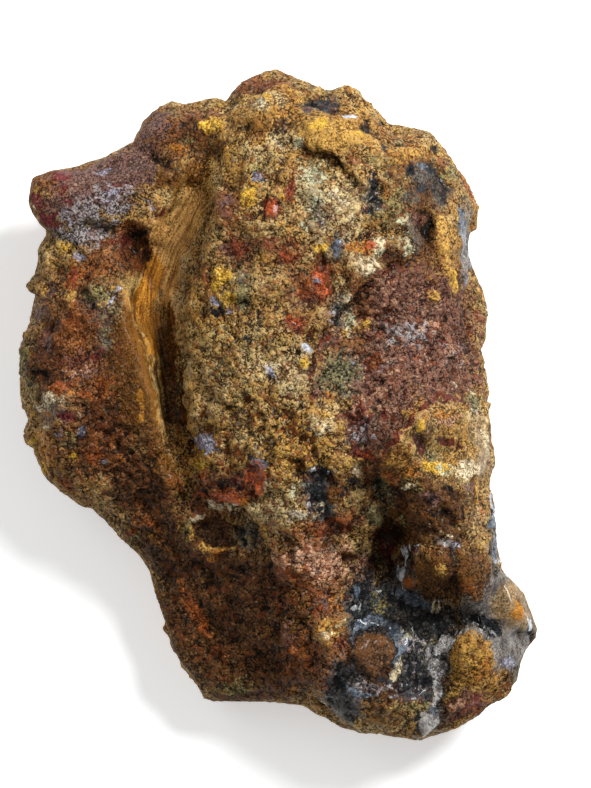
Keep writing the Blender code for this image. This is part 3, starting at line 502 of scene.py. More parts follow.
        (-28.5, 34, 7, 3.4, 12, 0.85), (-23, 37, 5, 3, 30, 0.8), (-19, 45, 3.2, 2.4, 60, 0.72),
        (-38, 14.5, 1.7, 1.7, 0, 0.8), (-36.6, 17.6, 1.6, 2.4, 0, 0.62), (-37, 10.5, 1.6, 2.4, 0, 0.62),
        (-30.5, 5, 2.6, 1, 0, 0.7), (-8.4, 32, 1.6, 2.4, 0, 0.6), (-10, 47.5, 1.4, 1, 0, 0.6),
        (29.5, -13, 1.6, 1.6, 0, 0.6), (-8, 24.5, 1.6, 1.6, 0, 0.6), (24.6, -15.4, 2, 1.3, -20, 0.8),
        (14.5, -26, 1.5, 2.4, 0, 0.7), (7.4, -31.4, 0.9, 1.9, -8, 0.9), (22, -23.6, 1.2, 1, 0, 0.8),
        (-28, 37.6, 9, 2.6, 15, 0.95), (-36, 32.4, 1.6, 3, 14, 0.75), (-23, 40.6, 4, 1.4, 20, 0.8),
    ],
    "brown skin": [
        (-24, 8.5, 6.5, 2.7, 98, 1.1), (-21.6, -1, 7, 1.9, 104, 1.05), (-18.8, -9, 4.5, 1.4, 118, 0.95),
        (-16.4, -13.6, 3, 1.1, 124, 0.7), (-20.4, -22, 4, 1, -55, 0.5), (-12.6, 38.2, 4.6, 1.8, 76, 1.05),
        (-17.5, 36.2, 3.4, 2.4, 20, 0.8), (-17.6, 8, 5, 1.8, 94, 0.9), (-16.6, -1, 5, 1.6, 100, 0.8),
        (-23, 3, 8, 3.2, 98, 1.1), (-17.2, 14.4, 3, 1.2, 86, 0.8),
    ],
    "tan skin": [
        (-14.4, 30, 4.4, 2.1, 60, 1.1), (-17.2, 24.6, 4.6, 2.3, 68, 1.05),
        (-19.4, 27.6, 3.4, 0.8, 60, 1.05), (-17.6, 18.5, 3.4, 1.2, 78, 0.8), (-14, 33.6, 2.4, 1.6, 50, 0.8),
        (-19.8, 32, 2, 1.2, 60, 0.7), (-16.4, 21, 5, 1.5, 76, 0.72), (-13.2, 27.4, 4, 1.2, 62, 0.6),
    ],
    "amber skin": [
        (-20.9, 18.4, 4.8, 1.8, 74, 1.2), (-20.5, 12.4, 3.6, 1.1, 96, 1.1), (-22.2, 0, 3.4, 0.8, 98, 0.7),
        (-37.8, -7, 4.2, 1.6, -65, 0.8), (-11.3, 34.2, 1.6, 0.7, 70, 0.6), (38.6, -33.2, 1.2, 1.8, 8, 0.95),
        (-20.6, 9.6, 2.4, 0.9, 100, 1),
    ],
    # Umber: partly dark bands, partly painted shade along creases, folds and gaps
    "umber": [
        (-27, -1, 2.2, 1.6, 0, 0.6), (-21, -14, 3.8, 1.8, -50, 0.8), (-24, -13, 1.6, 1.2, 0, 0.75),
        (-26, -7.5, 2.2, 1.3, 0, 0.62), (-38, 4, 1.2, 2.2, 0, 0.65), (-19, -27, 2.4, 3.6, 10, 0.7),
        (-9, -26.5, 6, 1.6, -4, 0.8), (13.4, 26.9, 2, 0.5, 8, 0.9), (18, 23.5, 2.2, 1.6, 0, 0.7),
        (-6, 22.5, 1.4, 1.1, 0, 0.6), (-18.5, 39, 2.6, 0.8, -30, 0.72), (-14, 44.5, 2, 2, 0, 0.62),
        (0.7, 44.6, 1.6, 1.2, 0, 0.9), (-8.3, 42, 1.1, 0.8, 0, 0.5), (-27.5, -18.6, 4, 0.6, -43, 0.72),
        (-6, -34, 8, 7, 20, 0.52), (-12, -38, 3, 5, -25, 0.55), (-3, -42, 6, 3.4, 0, 0.5),
        (13.5, -22, 1.4, 3, 0, 0.5), (5, 9.6, 2.4, 0.6, 20, 0.5), (30.5, 12, 1.6, 5, 0, 0.5),
        (21, 26, 1.6, 1.6, 0, 0.6), (14.8, 37, 1.4, 1.2, 0, 0.55), (-4.7, 30.2, 1, 0.7, 0, 0.8),
        (31, -19, 0.7, 2, 10, 0.6), (6.6, 49, 3, 0.8, -6, 0.6), (22.6, -6.2, 2.6, 0.8, -58, 0.95),
        # The first two patches on this line are painted shadow under the ledge of the yellow lump
        (4.5, 40.6, 2, 0.5, -20, 0.9), (8.6, 38.6, 2.4, 0.6, -40, 0.85), (14.6, -16, 3, 0.8, 70, 0.7),
        (26, -17.6, 2.4, 1.4, -30, 0.8), (26, -23, 2.4, 0.6, 0, 0.6), (28.6, -31, 0.6, 2.4, 10, 0.7),
        (-3, -7.6, 1, 1.4, 0, 0.5), (18.4, -46.4, 2.6, 1.2, 0, 0.8), (28.6, -14.6, 2, 1, 0, 0.7),
        (19, -15.4, 1.6, 2, 0, 0.75), (31, -24.4, 1, 2.6, 8, 0.6), (28.3, -27.4, 0.95, 4, 4, 1.1),
        (23.4, -6.4, 1.6, 2, -24, 0.7), (13.6, 17.4, 0.7, 2.6, -30, 0.6), (5.2, 11, 0.6, 2, -40, 0.7),
        (-11.3, -12.8, 1.2, 1.8, 20, 0.9), (-8.2, -12.4, 1.4, 1, 0, 0.95),
    ],
    "ox blood": [
        (17.6, -6.1, 2.7, 0.55, 48, 1.1), (20.9, -2, 2.3, 0.55, 62, 1.1), (23.8, 0.8, 2.1, 0.5, 24, 1.1),
        (27.6, 0.9, 2, 0.45, -14, 1.05), (31, -0.8, 2, 0.45, -26, 0.95), (17.6, -23, 1.6, 3.4, 8, 1.05),
        (12.2, -3, 1.3, 2.6, 30, 0.85), (17, -1.5, 1.4, 1.6, 0, 0.66), (5.2, 5.6, 2.8, 0.45, 84, 0.95),
        (6.9, 10, 1.8, 0.45, 42, 0.95), (26.8, -5.6, 1.2, 0.9, 0, 0.85), (29, -7, 0.8, 1, 0, 0.8),
        (-25, 26, 2.6, 1.2, 8, 0.8), (-30, 7.4, 3, 1, 0, 0.66), (8.6, 47.2, 2, 0.6, -18, 0.9),
        (13.6, 27, 2, 0.5, 6, 0.7), (-4.6, -14, 1.4, 1.6, 0, 0.66), (13, -8, 2.2, 1, -12, 1.1),
        (13.4, -2.4, 2.4, 2.4, 40, 0.8), (23, -6.4, 2, 0.9, -60, 0.85), (26.5, 9.5, 3, 0.8, 20, 0.55),
        (16.6, 13.6, 3.4, 0.8, -14, 0.6), (31.4, -48.6, 2.6, 0.7, 26, 0.95),
        (-6.4, -12.6, 1.4, 1.6, 0, 0.7), (7.4, 21, 1, 1, 0, 0.8), (3.2, 12, 1.2, 0.8, 0, 0.8),
        (-1.6, 31.2, 0.8, 0.8, 0, 0.7),
    ],
    "ink chalcedony": [
        (14.4, 31.2, 0.8, 0.8, 0, 0.95), (4.6, 47.7, 0.8, 0.7, 0, 0.95), (6.2, -18.6, 1, 1, 0, 0.8),
        (25, -35.8, 3.8, 1.7, -22, 1), (27.4, -37.6, 1.6, 1, 0, 0.9), (15.6, -40.2, 4.6, 4.8, 0, 0.9),
        (33.2, -35.2, 2.7, 1.3, -26, 1.05), (22.6, -42, 1.8, 2.6, 0, 0.85),
        (12.4, -12.4, 1.6, 1.2, 0, 0.66), (-10, 14.7, 1, 0.9, 0, 0.9), (9.3, 14.2, 0.7, 2.2, -12, 0.85),
        (-3.6, -9, 1.2, 0.6, -20, 0.85), (6.2, -10.8, 2.6, 1.2, 0, 0.85), (21.5, -24.6, 0.8, 1.8, 0, 0.8),
        (40.8, -37, 0.6, 2, 14, 0.9), (22.6, -51.2, 0.7, 1.6, 0, 0.8), (11.2, -14, 0.9, 1, 0, 0.7),
        (-5.3, 10, 0.6, 0.9, 0, 0.8), (-1.9, 4.4, 0.5, 0.8, 0, 0.9), (21, 37.8, 0.7, 1.4, 0, 0.8),
        (6.4, -15.4, 1.5, 3, 4, 1.05), (13.4, -31.8, 1.9, 4.8, -4, 1.1), (22.6, -39.8, 2, 3.4, 0, 0.9),
        (20, -31.6, 4, 1.4, -30, 0.85), (27.4, -44.4, 0.4, 3, 8, 0.8), (24.4, 37.4, 2.2, 0.9, -24, 0.85),
        (26.6, 34.2, 0.8, 1.8, 10, 0.85), (23, 34.6, 0.9, 0.8, 0, 0.8), (15.4, 34.2, 0.6, 2.3, 8, 1.15),
        (6.9, 48.9, 2.2, 1.1, -8, 1.35), (40.9, -37.6, 0.6, 2.4, 12, 0.85), (35.4, -36.6, 1.5, 0.6, -50, 1),
        (9.6, -45.6, 1.6, 2.6, 20, 0.72), (11.6, -48.6, 2, 1.2, -20, 0.66), (8.4, -49, 1, 1, 0, 0.5),
    ],
    "slate chalcedony": [
        (21, -31.2, 2.8, 1, -28, 0.95), (35.2, -23.6, 0.8, 3.4, 14, 0.95), (34.5, -18, 0.6, 3.4, 2, 0.85),
        (30.9, 22.5, 0.8, 4.6, -8, 0.7), (29.8, 28, 0.8, 4.6, 4, 0.75), (7.4, -31.4, 0.6, 1.4, -8, 0.6),
        (9.6, 25, 0.9, 1.5, 0, 1), (-2.8, -9.4, 1.4, 0.8, -30, 0.95), (25.2, -49.4, 0.8, 1.6, 0, 0.8),
        (-3.3, 36.2, 1, 0.9, 0, 0.8), (13.2, -29.5, 0.5, 2, 0, 0.6), (-11, -6.4, 1.3, 1, -30, 0.4),
        (6, -26.8, 1, 0.7, 0, 0.8), (22, -31.6, 3.6, 0.7, -28, 0.9), (12.6, -30.4, 0.6, 2.4, 8, 0.8),
        (23.4, 38, 1.6, 0.6, -20, 0.7), (13.4, -35, 1.3, 0.7, 14, 1.2), (15.9, -34.5, 1.8, 0.7, 0, 1.25),
        (18.5, -35.6, 1.5, 0.7, -42, 1.25), (19.9, -38, 1.7, 0.65, -80, 1.25),
        (19.6, -40.8, 1.4, 0.6, 76, 1.15), (12.4, -37.4, 0.6, 1.8, -14, 0.7),
        (13.4, -46.2, 3, 0.7, -10, 0.75),
    ],
    "rust": [
        (-32.5, 21.3, 2, 1.2, 0, 0.72), (-33.6, 19.6, 0.6, 1.5, 0, 0.9), (-33, 13.4, 2, 1.6, 0, 0.7),
        (-28, 3, 3, 3, 0, 0.55), (-29.5, -8.5, 2, 1.6, 0, 0.78), (-34.3, -13.2, 1.6, 0.9, -35, 0.78),
        (-24, -21, 1.2, 0.8, -45, 0.72), (1.6, 23.2, 1.7, 1.1, 0, 0.9), (4.6, 18.6, 1.4, 1.4, 0, 0.85),
        (-9, -15, 1.6, 0.7, 0, 0.9), (-16, -12.5, 1.4, 1.4, 0, 0.62), (21.6, -28.8, 0.7, 1.2, 0, 1),
        (32.6, -15.5, 0.7, 3.4, 0, 0.6), (3, 32.5, 1.2, 1, 0, 0.6), (15.2, 6.6, 1.3, 1.5, 0, 0.85),
        (22.5, 7.2, 0.9, 0.7, 0, 0.62), (26, 13, 0.9, 0.9, 0, 0.62), (31, -48.4, 2.6, 1.2, 20, 0.8),
        (6, -20, 4, 1.6, 0, 0.6), (9.5, -18.6, 3, 1, 30, 0.7), (30.5, -29.5, 1.4, 1.8, 0, 0.6),
        (0.8, -25.6, 1.2, 1.6, 0, 0.8), (-35, 2.4, 1.5, 1, 0, 0.9), (-31.5, 1.6, 2.4, 1, 0, 0.6),
        (14.6, -8.6, 1.1, 0.7, -10, 1), (18, -12, 1.6, 0.8, -40, 0.8), (2.6, -40, 1, 2, 0, 0.7),
        (-24, 29.4, 2, 0.7, 10, 0.7), (-5, -14.6, 2, 1, 0, 0.7), (-29, 13.5, 1.6, 2, 0, 0.5),
        (-13, -34, 1.1, 4.6, 28, 0.85), (-9.6, -40, 1, 2.6, 30, 0.6), (-6.4, -33.6, 1, 1.4, 0, 0.5),
        (-3, -39.6, 1.6, 1.2, 0, 0.5), (-20.8, -19.6, 2.4, 0.8, -48, 0.6), (-7, -14.2, 4.4, 1.1, -8, 0.72),
    ],
    "orange clay": [
        (26.5, -1.6, 2.4, 1.2, 0, 0.7), (12.8, 25.2, 2, 0.9, 0, 1), (-33.5, 2.4, 1.4, 1, 0, 0.66),
        (-37.3, -1.4, 1.2, 0.9, 0, 0.85), (-15.3, -2.4, 0.9, 1, 0, 0.66), (8, 1.5, 1.1, 0.9, 0, 0.66),
        (9, -32, 1.4, 1.6, 0, 0.66), (11, -24.5, 1, 1, 0, 0.6), (2.5, -46, 1.6, 1, 0, 0.66),
        (3.2, -26.7, 1.2, 0.8, 0, 0.8), (-9.6, -24.2, 2.6, 0.6, 14, 0.8), (33, -42.5, 1.6, 2.4, 20, 0.6),
        (17.4, 34, 1.4, 1.2, 0, 0.6), (-31.5, -15.3, 1.4, 0.8, -20, 0.78), (20.6, -10.6, 1.4, 1, 0, 0.7),
        (17.6, -12.8, 2.4, 0.6, -48, 0.8), (-16, 41, 1.4, 1, 0, 0.8), (38.7, -33, 0.6, 1.4, 0, 0.6),
        (-5.6, -15, 1.4, 0.6, 0, 0.8),
    ],
    "gold clay": [
        (8.5, 43.4, 5.2, 2.8, -8, 0.95), (-3.5, 48.9, 3, 0.9, 4, 0.85), (2.6, 50.2, 2.4, 0.9, -10, 0.85),
        (-5.5, 46.5, 3, 1.5, 0, 0.6), (21.5, 41, 2.4, 1.4, 0, 0.9), (16, 42, 3, 1.4, 0, 0.6),
        (26, 28.4, 0.8, 2.4, 12, 1), (26.8, 24.2, 0.8, 2.2, 6, 1), (27.6, 20, 0.9, 2.6, 12, 1.05),
        (24.8, 17, 0.8, 1.2, 0, 0.95), (13.5, 12.5, 2.1, 1.2, 0, 0.85), (11, 11.7, 1.2, 0.9, 0, 0.76),
        (1.4, -9, 2, 3.2, 0, 0.9), (8.7, -9, 1.3, 0.8, 0, 0.86), (11, -9.9, 1.6, 0.8, -10, 0.95),
        (6.8, -1.4, 2.2, 1, 0, 0.85), (9.6, -3.6, 0.8, 1.8, 0, 0.9), (7, -6.4, 1.4, 1.4, 0, 0.7),
        (-33.3, 16.8, 0.6, 1.6, 12, 0.95), (-28.5, 15.8, 2, 0.9, 0, 0.6), (-26.5, 18.5, 1, 0.9, 0, 0.6),
        (-7, -6.6, 1.1, 0.9, 0, 0.9), (-10.3, -3.2, 1, 0.8, 0, 0.7), (21, -1, 1.4, 1, 0, 0.6),
        (28.6, -46, 0.8, 1.6, 0, 0.9), (11, -26.9, 0.9, 0.9, 0, 1), (-34.6, 25.4, 1.5, 1, 0, 0.85),
        (-38, 20, 1.1, 4, 0, 0.6), (13.5, -51.4, 2.2, 0.8, -10, 0.7), (-2.4, -20.4, 0.8, 3.2, 10, 0.8),
        (-2.4, 23, 1.8, 1, 0, 0.85), (-10, 36, 2.6, 3, 0, 0.46), (29, -51.6, 3.6, 0.8, 28, 0.8),
        (26, -27, 1.6, 1.4, 0, 0.6), (31.6, -40.6, 2, 1.4, 0, 0.7), (-38.6, 34.2, 0.8, 0.9, 0, 0.7),
        (-39, -8, 0.8, 4, 20, 0.8), (31.8, -15, 0.8, 3.4, 4, 0.8), (8, -36, 2, 1.4, 0, 0.75),
        (-11, 38, 2, 2, 0, 0.5), (23.2, -3.2, 1, 0.7, 0, 1), (25, -46.6, 0.5, 2.4, 0, 0.4),
        (-2, 1, 3, 3, 0, 0.5), (10, -3, 1, 1, 0, 0.6), (28.2, -46.6, 0.9, 2.2, -14, 1),
        (-14.2, -21, 0.6, 1.6, 10, 0.7), (-37.2, 33.6, 0.6, 0.7, 0, 0.7), (30.8, -39.6, 1.6, 1, 20, 0.6),
        (12, -51.6, 3, 0.7, -6, 0.6), (-16.2, -20.2, 0.6, 1.6, 10, 0.6), (-10.4, -23.2, 2.4, 0.5, 8, 0.9),
    ],
    "lemon clay": [
        (6.5, 44.4, 2, 1.2, 0, 0.66), (-10.8, 45, 1.8, 1.6, 0, 0.95), (-4.6, 33.6, 1.3, 1.8, 10, 0.9),
        (0.6, 33.2, 0.9, 1, 0, 0.66), (-9.2, 20.4, 1.6, 1.4, 20, 1.1), (-8, 17, 1.2, 1.1, 0, 1.1),
        (7, 24.8, 0.9, 0.6, 0, 1), (25, -10.2, 2.8, 1.2, -8, 1), (22.8, -3.4, 0.9, 0.6, 0, 0.9),
        (3.4, 6.1, 1, 0.8, 0, 0.7), (-33.2, -9, 1.3, 1, 0, 0.66), (-21.5, -21.4, 1, 0.8, 0, 0.5),
        (-2, 49.2, 1.3, 0.8, 0, 0.66), (-39.8, -5.6, 0.7, 1.6, 0, 0.75), (-38, -10.5, 0.7, 1.6, 25, 0.72),
        (27.8, 20, 0.5, 1.8, 10, 0.9), (33, -4, 0.5, 2, 0, 0.6), (-34.6, 25.2, 0.9, 0.6, 0, 0.9),
        (14.4, 13, 1.2, 0.7, 0, 0.7), (-12.1, -9, 1.5, 1.6, 0, 1.25), (12.6, 43, 2.2, 1.4, -10, 0.6),
    ],
    "cream crust": [
        (-2.6, 48, 1.6, 0.9, 10, 0.7), (14, 22.2, 1.7, 1.1, -30, 1), (15.8, 24.4, 1.4, 0.7, 50, 0.85),
        (16.8, 26, 1, 0.8, 0, 0.8), (11, 17, 0.8, 1.3, 0, 0.9), (28.2, 3.3, 0.9, 0.8, 0, 0.5),
        (30.4, 1.2, 0.8, 0.8, 0, 0.72), (30, -10.6, 1.6, 1.4, 0, 0.9), (31.3, -0.6, 1.2, 0.8, 0, 0.7),
        (32.8, -6, 0.8, 4, 4, 0.7), (-36.2, 0.9, 1.5, 0.8, 0, 0.9), (-37.2, -0.4, 1.2, 0.9, 0, 0.85),
        (-37.2, -3.8, 0.9, 0.4, 20, 0.9), (-1.8, -12.8, 0.9, 0.7, 0, 1), (-9.8, -16.2, 1.6, 0.8, 0, 1),
        (11, 31.6, 2, 2.4, 0, 0.55), (9.6, 34, 1.4, 1.2, 0, 0.56), (25.8, -33.2, 1.2, 0.6, -10, 1),
        (8, -36.6, 1.8, 1.2, 0, 0.6), (-1.5, 5.8, 2, 0.8, 0, 0.6), (-38.5, 32.2, 0.8, 1, 0, 0.75),
        (19.2, -42.8, 1.7, 0.6, 60, 1.15), (6.2, -16.8, 2, 3, 0, 0.4), (3, -17.6, 1.4, 0.9, 0, 0.7),
        (0.5, 42, 1, 0.8, 0, 0.6), (21, -13.6, 1.4, 0.6, 20, 0.7), (7.2, -4.4, 1.6, 1.6, 0, 0.55),
        (12.4, -10.8, 1.2, 0.6, -10, 0.7), (-7, -16.8, 1.4, 0.6, 0, 0.6), (-12.8, -18, 1.4, 0.6, 20, 0.6),
        (26.6, -20.6, 2.8, 0.25, -40, 0.7), (27.6, -21.2, 1.8, 0.2, -40, 0.6),
        (24.8, -17.4, 1.6, 0.22, -40, 0.6), (31.6, -16.6, 0.5, 2.6, 2, 0.6), (15.4, 25.4, 0.6, 2, -60, 0.8),
        (6.2, 16.4, 0.8, 0.6, 0, 0.6), (2.6, 3.4, 1.4, 1.6, 0, 0.6),
    ],
    "green crust": [
        (5.6, 36.6, 2, 2, 15, 0.85), (6, 33, 1.8, 2.6, 0, 0.66), (3, 41.6, 1.2, 0.9, 0, 0.75),
        (19.5, 29, 2.2, 2, 0, 0.52), (20, 26.6, 1.8, 1.4, 0, 0.58), (21, 24.8, 1.2, 1, 0, 0.6),
        (10.8, 17, 1.4, 1.8, 0, 0.66), (-20, 32.5, 1.5, 1.2, 0, 0.4), (26.6, -10.4, 2.4, 1, -10, 0.62),
        (31.2, 0, 1.2, 1, 0, 0.6), (5, 29, 2.4, 1.6, 0, 0.46), (31, -37, 1.4, 0.8, 0, 0.4),
        (20.8, -37.6, 1, 1.2, 0, 0.66), (9.6, -35.4, 1.2, 0.8, 0, 0.5), (12.5, 11, 1.4, 0.8, 0, 0.5),
        (-2.6, 48.2, 1.4, 0.7, 10, 0.5), (20, 40.4, 0.8, 0.8, 0, 0.4), (-2.6, -6.4, 3, 2, 0, 0.42),
        (2.5, -14, 2.4, 1.6, 0, 0.45), (11.8, 13.4, 1.8, 1.2, 0, 0.7), (16, 24, 1.4, 1, 0, 0.6),
    ],
    "sage crust": [
        (16.4, -14, 1.1, 2.8, 20, 0.85), (15.8, -17.6, 1.5, 2.4, 10, 0.8), (31.2, 0.4, 1.3, 1.5, 0, 0.9),
        (24.6, -8.6, 1.4, 1, 0, 0.7), (9.4, 4.8, 3.6, 3, 0, 0.8),
    ],
    "brick jasper": [
        (1.9, 33.8, 1.2, 2.4, -10, 1), (-1.2, 31, 1.3, 1.6, 0, 1), (-6.6, 25.2, 1.6, 1.7, 0, 0.85),
        (-1.6, 25.6, 1.7, 1, 0, 0.85), (1.2, 23, 1.4, 0.9, 0, 0.8), (7.1, 21.4, 1.6, 1.8, 0, 1),
        (6, 17.2, 2.4, 1.4, 0, 0.95), (2.8, 12.6, 1.9, 1.6, 0, 0.95), (-3.2, -11.6, 1.7, 1.7, 0, 1.1),
        (-31.5, 6.5, 3.6, 2, 0, 0.5), (-26.5, 26, 2.8, 0.8, 0, 0.48), (10, -38.7, 1, 0.9, 0, 0.76),
        (6.8, -33, 0.9, 0.8, 0, 0.72), (39, -32.3, 0.6, 0.5, 0, 0.7), (29.6, -47.6, 1.6, 1, 0, 0.85),
        (14.8, -8.6, 1.2, 0.6, -10, 1), (9, -20, 3.2, 1.4, 30, 0.6), (-25.5, 8.5, 1.4, 2.2, 0, 0.4),
        (-34.4, 3, 1.4, 0.9, 0, 0.7), (2.5, 26.5, 1.6, 1.2, 0, 0.5), (9.5, 28, 1, 1, 0, 0.4),
        (14.9, 6.6, 0.9, 1.2, 0, 0.7), (15.4, 27, 0.8, 0.8, 0, 0.8),
    ],
    "ember": [
        (-7.6, -14.6, 3, 0.8, -6, 0.85), (-11, -11.6, 0.9, 1.4, 0, 0.7), (2, 34.6, 0.9, 1.5, -10, 0.95),
        (-1.1, 31.2, 0.9, 1.1, 0, 0.85), (1.4, 23.4, 1.3, 0.7, 0, 0.7), (6.4, 20.6, 1.2, 0.9, 0, 0.8),
        (7.4, 17.6, 1, 0.8, 0, 0.8), (2.6, 13.4, 1, 0.7, 0, 0.6), (13, -8.2, 1.6, 0.5, -12, 0.8),
        (-33.2, 20.4, 0.7, 1.6, 10, 0.85), (14.6, 25, 1.3, 0.6, 0, 0.8), (-3.4, -11.8, 1.5, 2.2, 10, 1.2),
        (-11.2, -14.6, 2, 0.7, -20, 0.8), (6.8, 19, 1.2, 1.6, 0, 0.8), (2.9, 13.2, 1.2, 1, 0, 0.7),
    ],
    "crimson": [
        (-25, 35.2, 2.2, 0.8, 12, 0.66), (-18.8, 30.5, 0.8, 1.6, 0, 0.6), (-33.7, -2, 1.3, 1.1, 0, 0.85),
        (-36.5, 29.8, 1.2, 1.6, 0, 0.66), (12.4, -7, 1.4, 0.9, -10, 0.66), (21.3, -6.5, 0.9, 0.8, 0, 0.6),
        (22, 10, 6, 5, 0, 0.34), (-28.4, 8.2, 0.8, 0.7, 0, 0.8), (-37, 29.8, 1.6, 1.4, 0, 0.8),
        (-38.2, 32.6, 1.1, 3.2, 12, 0.72), (-34.6, 33.8, 1, 3.4, 14, 0.7), (-35, 36.8, 3, 0.8, 12, 0.7),
        (-35.6, 28.6, 1.2, 1.8, 30, 0.7), (30.6, -47.5, 2.4, 1.1, 26, 0.85),
    ],
    "rose speckle": [
        (20.6, 10, 2, 1.6, 0, 0.62), (16.6, 7.4, 1.6, 1, 0, 0.62), (18, 5.4, 1.4, 0.9, 0, 0.6),
        (14, 0, 5, 4, 0, 0.42), (-32.3, -2, 0.9, 0.8, 0, 0.6), (4, -26.6, 2.4, 1.2, 0, 0.7),
        (27.8, -2.4, 1.6, 0.9, 0, 0.75), (-38.6, 29.8, 0.8, 0.9, 0, 0.6), (28, 8, 4, 4, 0, 0.42),
        (18, 18, 4, 3, 0, 0.4), (-31, 5.2, 3, 0.8, 0, 0.5), (8, -21.8, 3.4, 1, 20, 0.5),
        (7, -25.2, 6.4, 2.8, -6, 0.85), (22, 12, 8, 7, 0, 0.3), (29.4, -48, 2, 1, 20, 0.8),
        (30, -46.9, 1.6, 0.7, 24, 0.75), (20.4, 10.4, 3.2, 2, 0, 0.5), (24.6, 12.6, 2.4, 1.4, 0, 0.55),
        (4.6, -23.6, 4, 1.6, 0, 0.6), (16, 1.6, 2.6, 1.6, 30, 0.5), (12, 7.6, 1.6, 1, 0, 0.5),
    ],
    "ash speckle": [
        (22, -38.8, 2.6, 1.4, 0, 0.62), (15.8, -45.3, 2, 0.7, -8, 0.75), (14, -5.2, 2.4, 1, 10, 0.55),
        (2.4, -17.6, 1.6, 1.2, 0, 0.5), (9, -10.6, 1.4, 0.8, 0, 0.6), (20, 9, 5, 4, 0, 0.38),
        (28, 8, 4, 3, 0, 0.38), (8.5, 13.5, 0.8, 2, 0, 0.5), (-35, 30, 2, 1.4, 0, 0.5),
        (24, -51.5, 1.4, 1.6, 0, 0.6), (5, -16.4, 1, 2, 0, 0.5), (22.5, -42, 2, 3, 0, 0.34),
        (17.6, 6.2, 3.2, 2, 0, 0.5), (13.6, -5.4, 2.4, 1, 10, 0.7), (-28.4, 31.4, 7, 2.6, 8, 0.66),
        (-31.2, 27.4, 4.4, 2, 4, 0.72), (20.5, 11, 4, 2.2, 10, 0.62), (13.5, -3.6, 3, 1.6, 20, 0.6),
        (15, -45.4, 3, 0.9, -12, 0.8), (18.4, -46.4, 1.6, 0.8, 0, 0.6), (-27, 34.6, 5, 1.6, 10, 0.55),
    ],
    "lavender chalcedony": [
        (-28.5, 37.7, 2, 0.6, 10, 0.6), (-28, 32.2, 3, 1, 10, 0.5), (-32.6, 24, 1.1, 0.7, 0, 0.9),
        (-25.3, 18.2, 0.7, 0.7, 0, 0.9), (-26.3, 16.2, 1.3, 0.4, 50, 0.7), (-31.5, -4.2, 1.1, 0.7, 0, 1),
        (-35.5, -5, 1.2, 0.8, 0, 0.6), (-10.2, 16.8, 0.55, 0.95, 0, 1.1), (-8, 14.6, 0.6, 0.6, 0, 0.95),
        (6.5, 19.4, 0.9, 0.4, 0, 0.9), (-1, 5, 1, 0.5, -30, 1.1), (-3.3, 36.4, 0.7, 0.6, 0, 1.1),
        (-6.3, 39.3, 0.8, 0.7, 0, 0.5), (5, -4, 0.8, 0.6, 0, 0.6), (-27.6, -9.7, 0.7, 0.5, 0, 0.9),
        (28, -22.4, 1.4, 0.9, 0, 0.6), (37.1, -41.8, 0.9, 0.9, 0, 1.05), (-20.2, 31, 0.5, 1.4, 30, 0.6),
        (-34, 29.6, 2.4, 1, 0, 0.5), (-11.5, -6.1, 1.5, 1, -35, 1.4), (-34.4, 31.4, 2, 0.8, 0, 0.5),
        (-27, 33.6, 3.2, 0.9, 8, 0.55),
    ],
    "pale chalcedony": [
        (27, -38.6, 1.3, 1.7, -25, 0.95), (25.3, -42, 1.1, 2.2, 12, 0.95),
        (25.7, -46.4, 0.9, 2.2, -10, 0.95), (24.2, -51.4, 1.4, 1.8, 30, 0.95),
        (29.6, -36.9, 1.6, 0.6, 16, 0.8), (33.4, -37, 1.8, 0.6, -22, 0.8),
        (17.9, -43.6, 0.5, 0.9, -30, 0.5), (22.4, -53, 1, 0.5, 0, 0.8), (23.6, -45.2, 0.5, 0.8, 20, 0.7),
        (-34, 29.6, 1.6, 0.7, 0, 0.4),
    ],
    "milk chalcedony": [
        (34.2, -16, 0.4, 2.2, 5, 0.9), (36, -25.6, 0.5, 2, -30, 0.85), (11.4, 45.9, 1.1, 0.5, -8, 1.1),
        (20.5, -24.4, 0.45, 1.7, -12, 1), (20.3, -27.3, 0.45, 1.3, 14, 1), (22.9, -53, 1, 0.6, 0, 0.8),
        (5.6, -10.5, 0.7, 0.7, 0, 0.95), (8, -11, 0.5, 0.5, 0, 0.85), (4.6, -16.4, 0.6, 0.6, 0, 0.7),
        (-5.7, -15.6, 0.4, 0.4, 0, 1), (4.2, 8.9, 0.6, 0.9, 0, 1), (6.4, -48.4, 2, 0.7, -12, 0.5),
        (32.2, -34.4, 0.7, 0.3, -20, 0.8), (12.8, -42.4, 0.4, 1.2, 0, 0.45),
        (40.6, -35.2, 0.4, 1.4, 10, 0.7), (28.2, -38.2, 0.9, 0.5, 20, 0.8),
        (21.7, -22.8, 1.2, 0.35, 24, 0.9), (20.1, -29.6, 0.4, 1, 20, 0.8), (26, -39.8, 0.35, 1, 10, 0.6),
        (24.5, -42.4, 0.3, 1.6, 10, 0.7), (24.2, -50.8, 0.4, 1, 30, 0.6),
    ],
    "brown button": [
        (15.6, -40.2, 3.3, 3.8, 0, 1.05), (-10.2, -20.3, 2.7, 2.1, -5, 1.1),
        (17.2, -20.4, 0.9, 1.8, 10, 0.8),
    ],
    # Black pits: partly black manganese, partly painted shade in pits, cracks and the hole under the horn
    "black pits and painted shade": [
        (23.9, 28.4, 0.7, 3, 4, 0.8), (-22.2, 27.2, 0.9, 0.9, 0, 0.9), (-21.4, 24, 0.6, 1.8, -15, 0.8),
        (-39.3, 18, 0.7, 0.8, 0, 0.8), (17, 41.5, 0.5, 1, 0, 0.9), (17, 46.2, 0.6, 0.6, 0, 0.9),
        (23.2, 44, 1.1, 0.5, 0, 0.9), (14.2, 45, 1.3, 0.5, -35, 1), (-15.5, 45, 0.9, 0.7, 0, 0.8),
        (1.7, 42.3, 0.5, 0.5, 0, 0.7), (3.2, 8, 0.4, 0.9, 0, 0.9), (-3.2, 14, 0.35, 1.4, 12, 0.8),
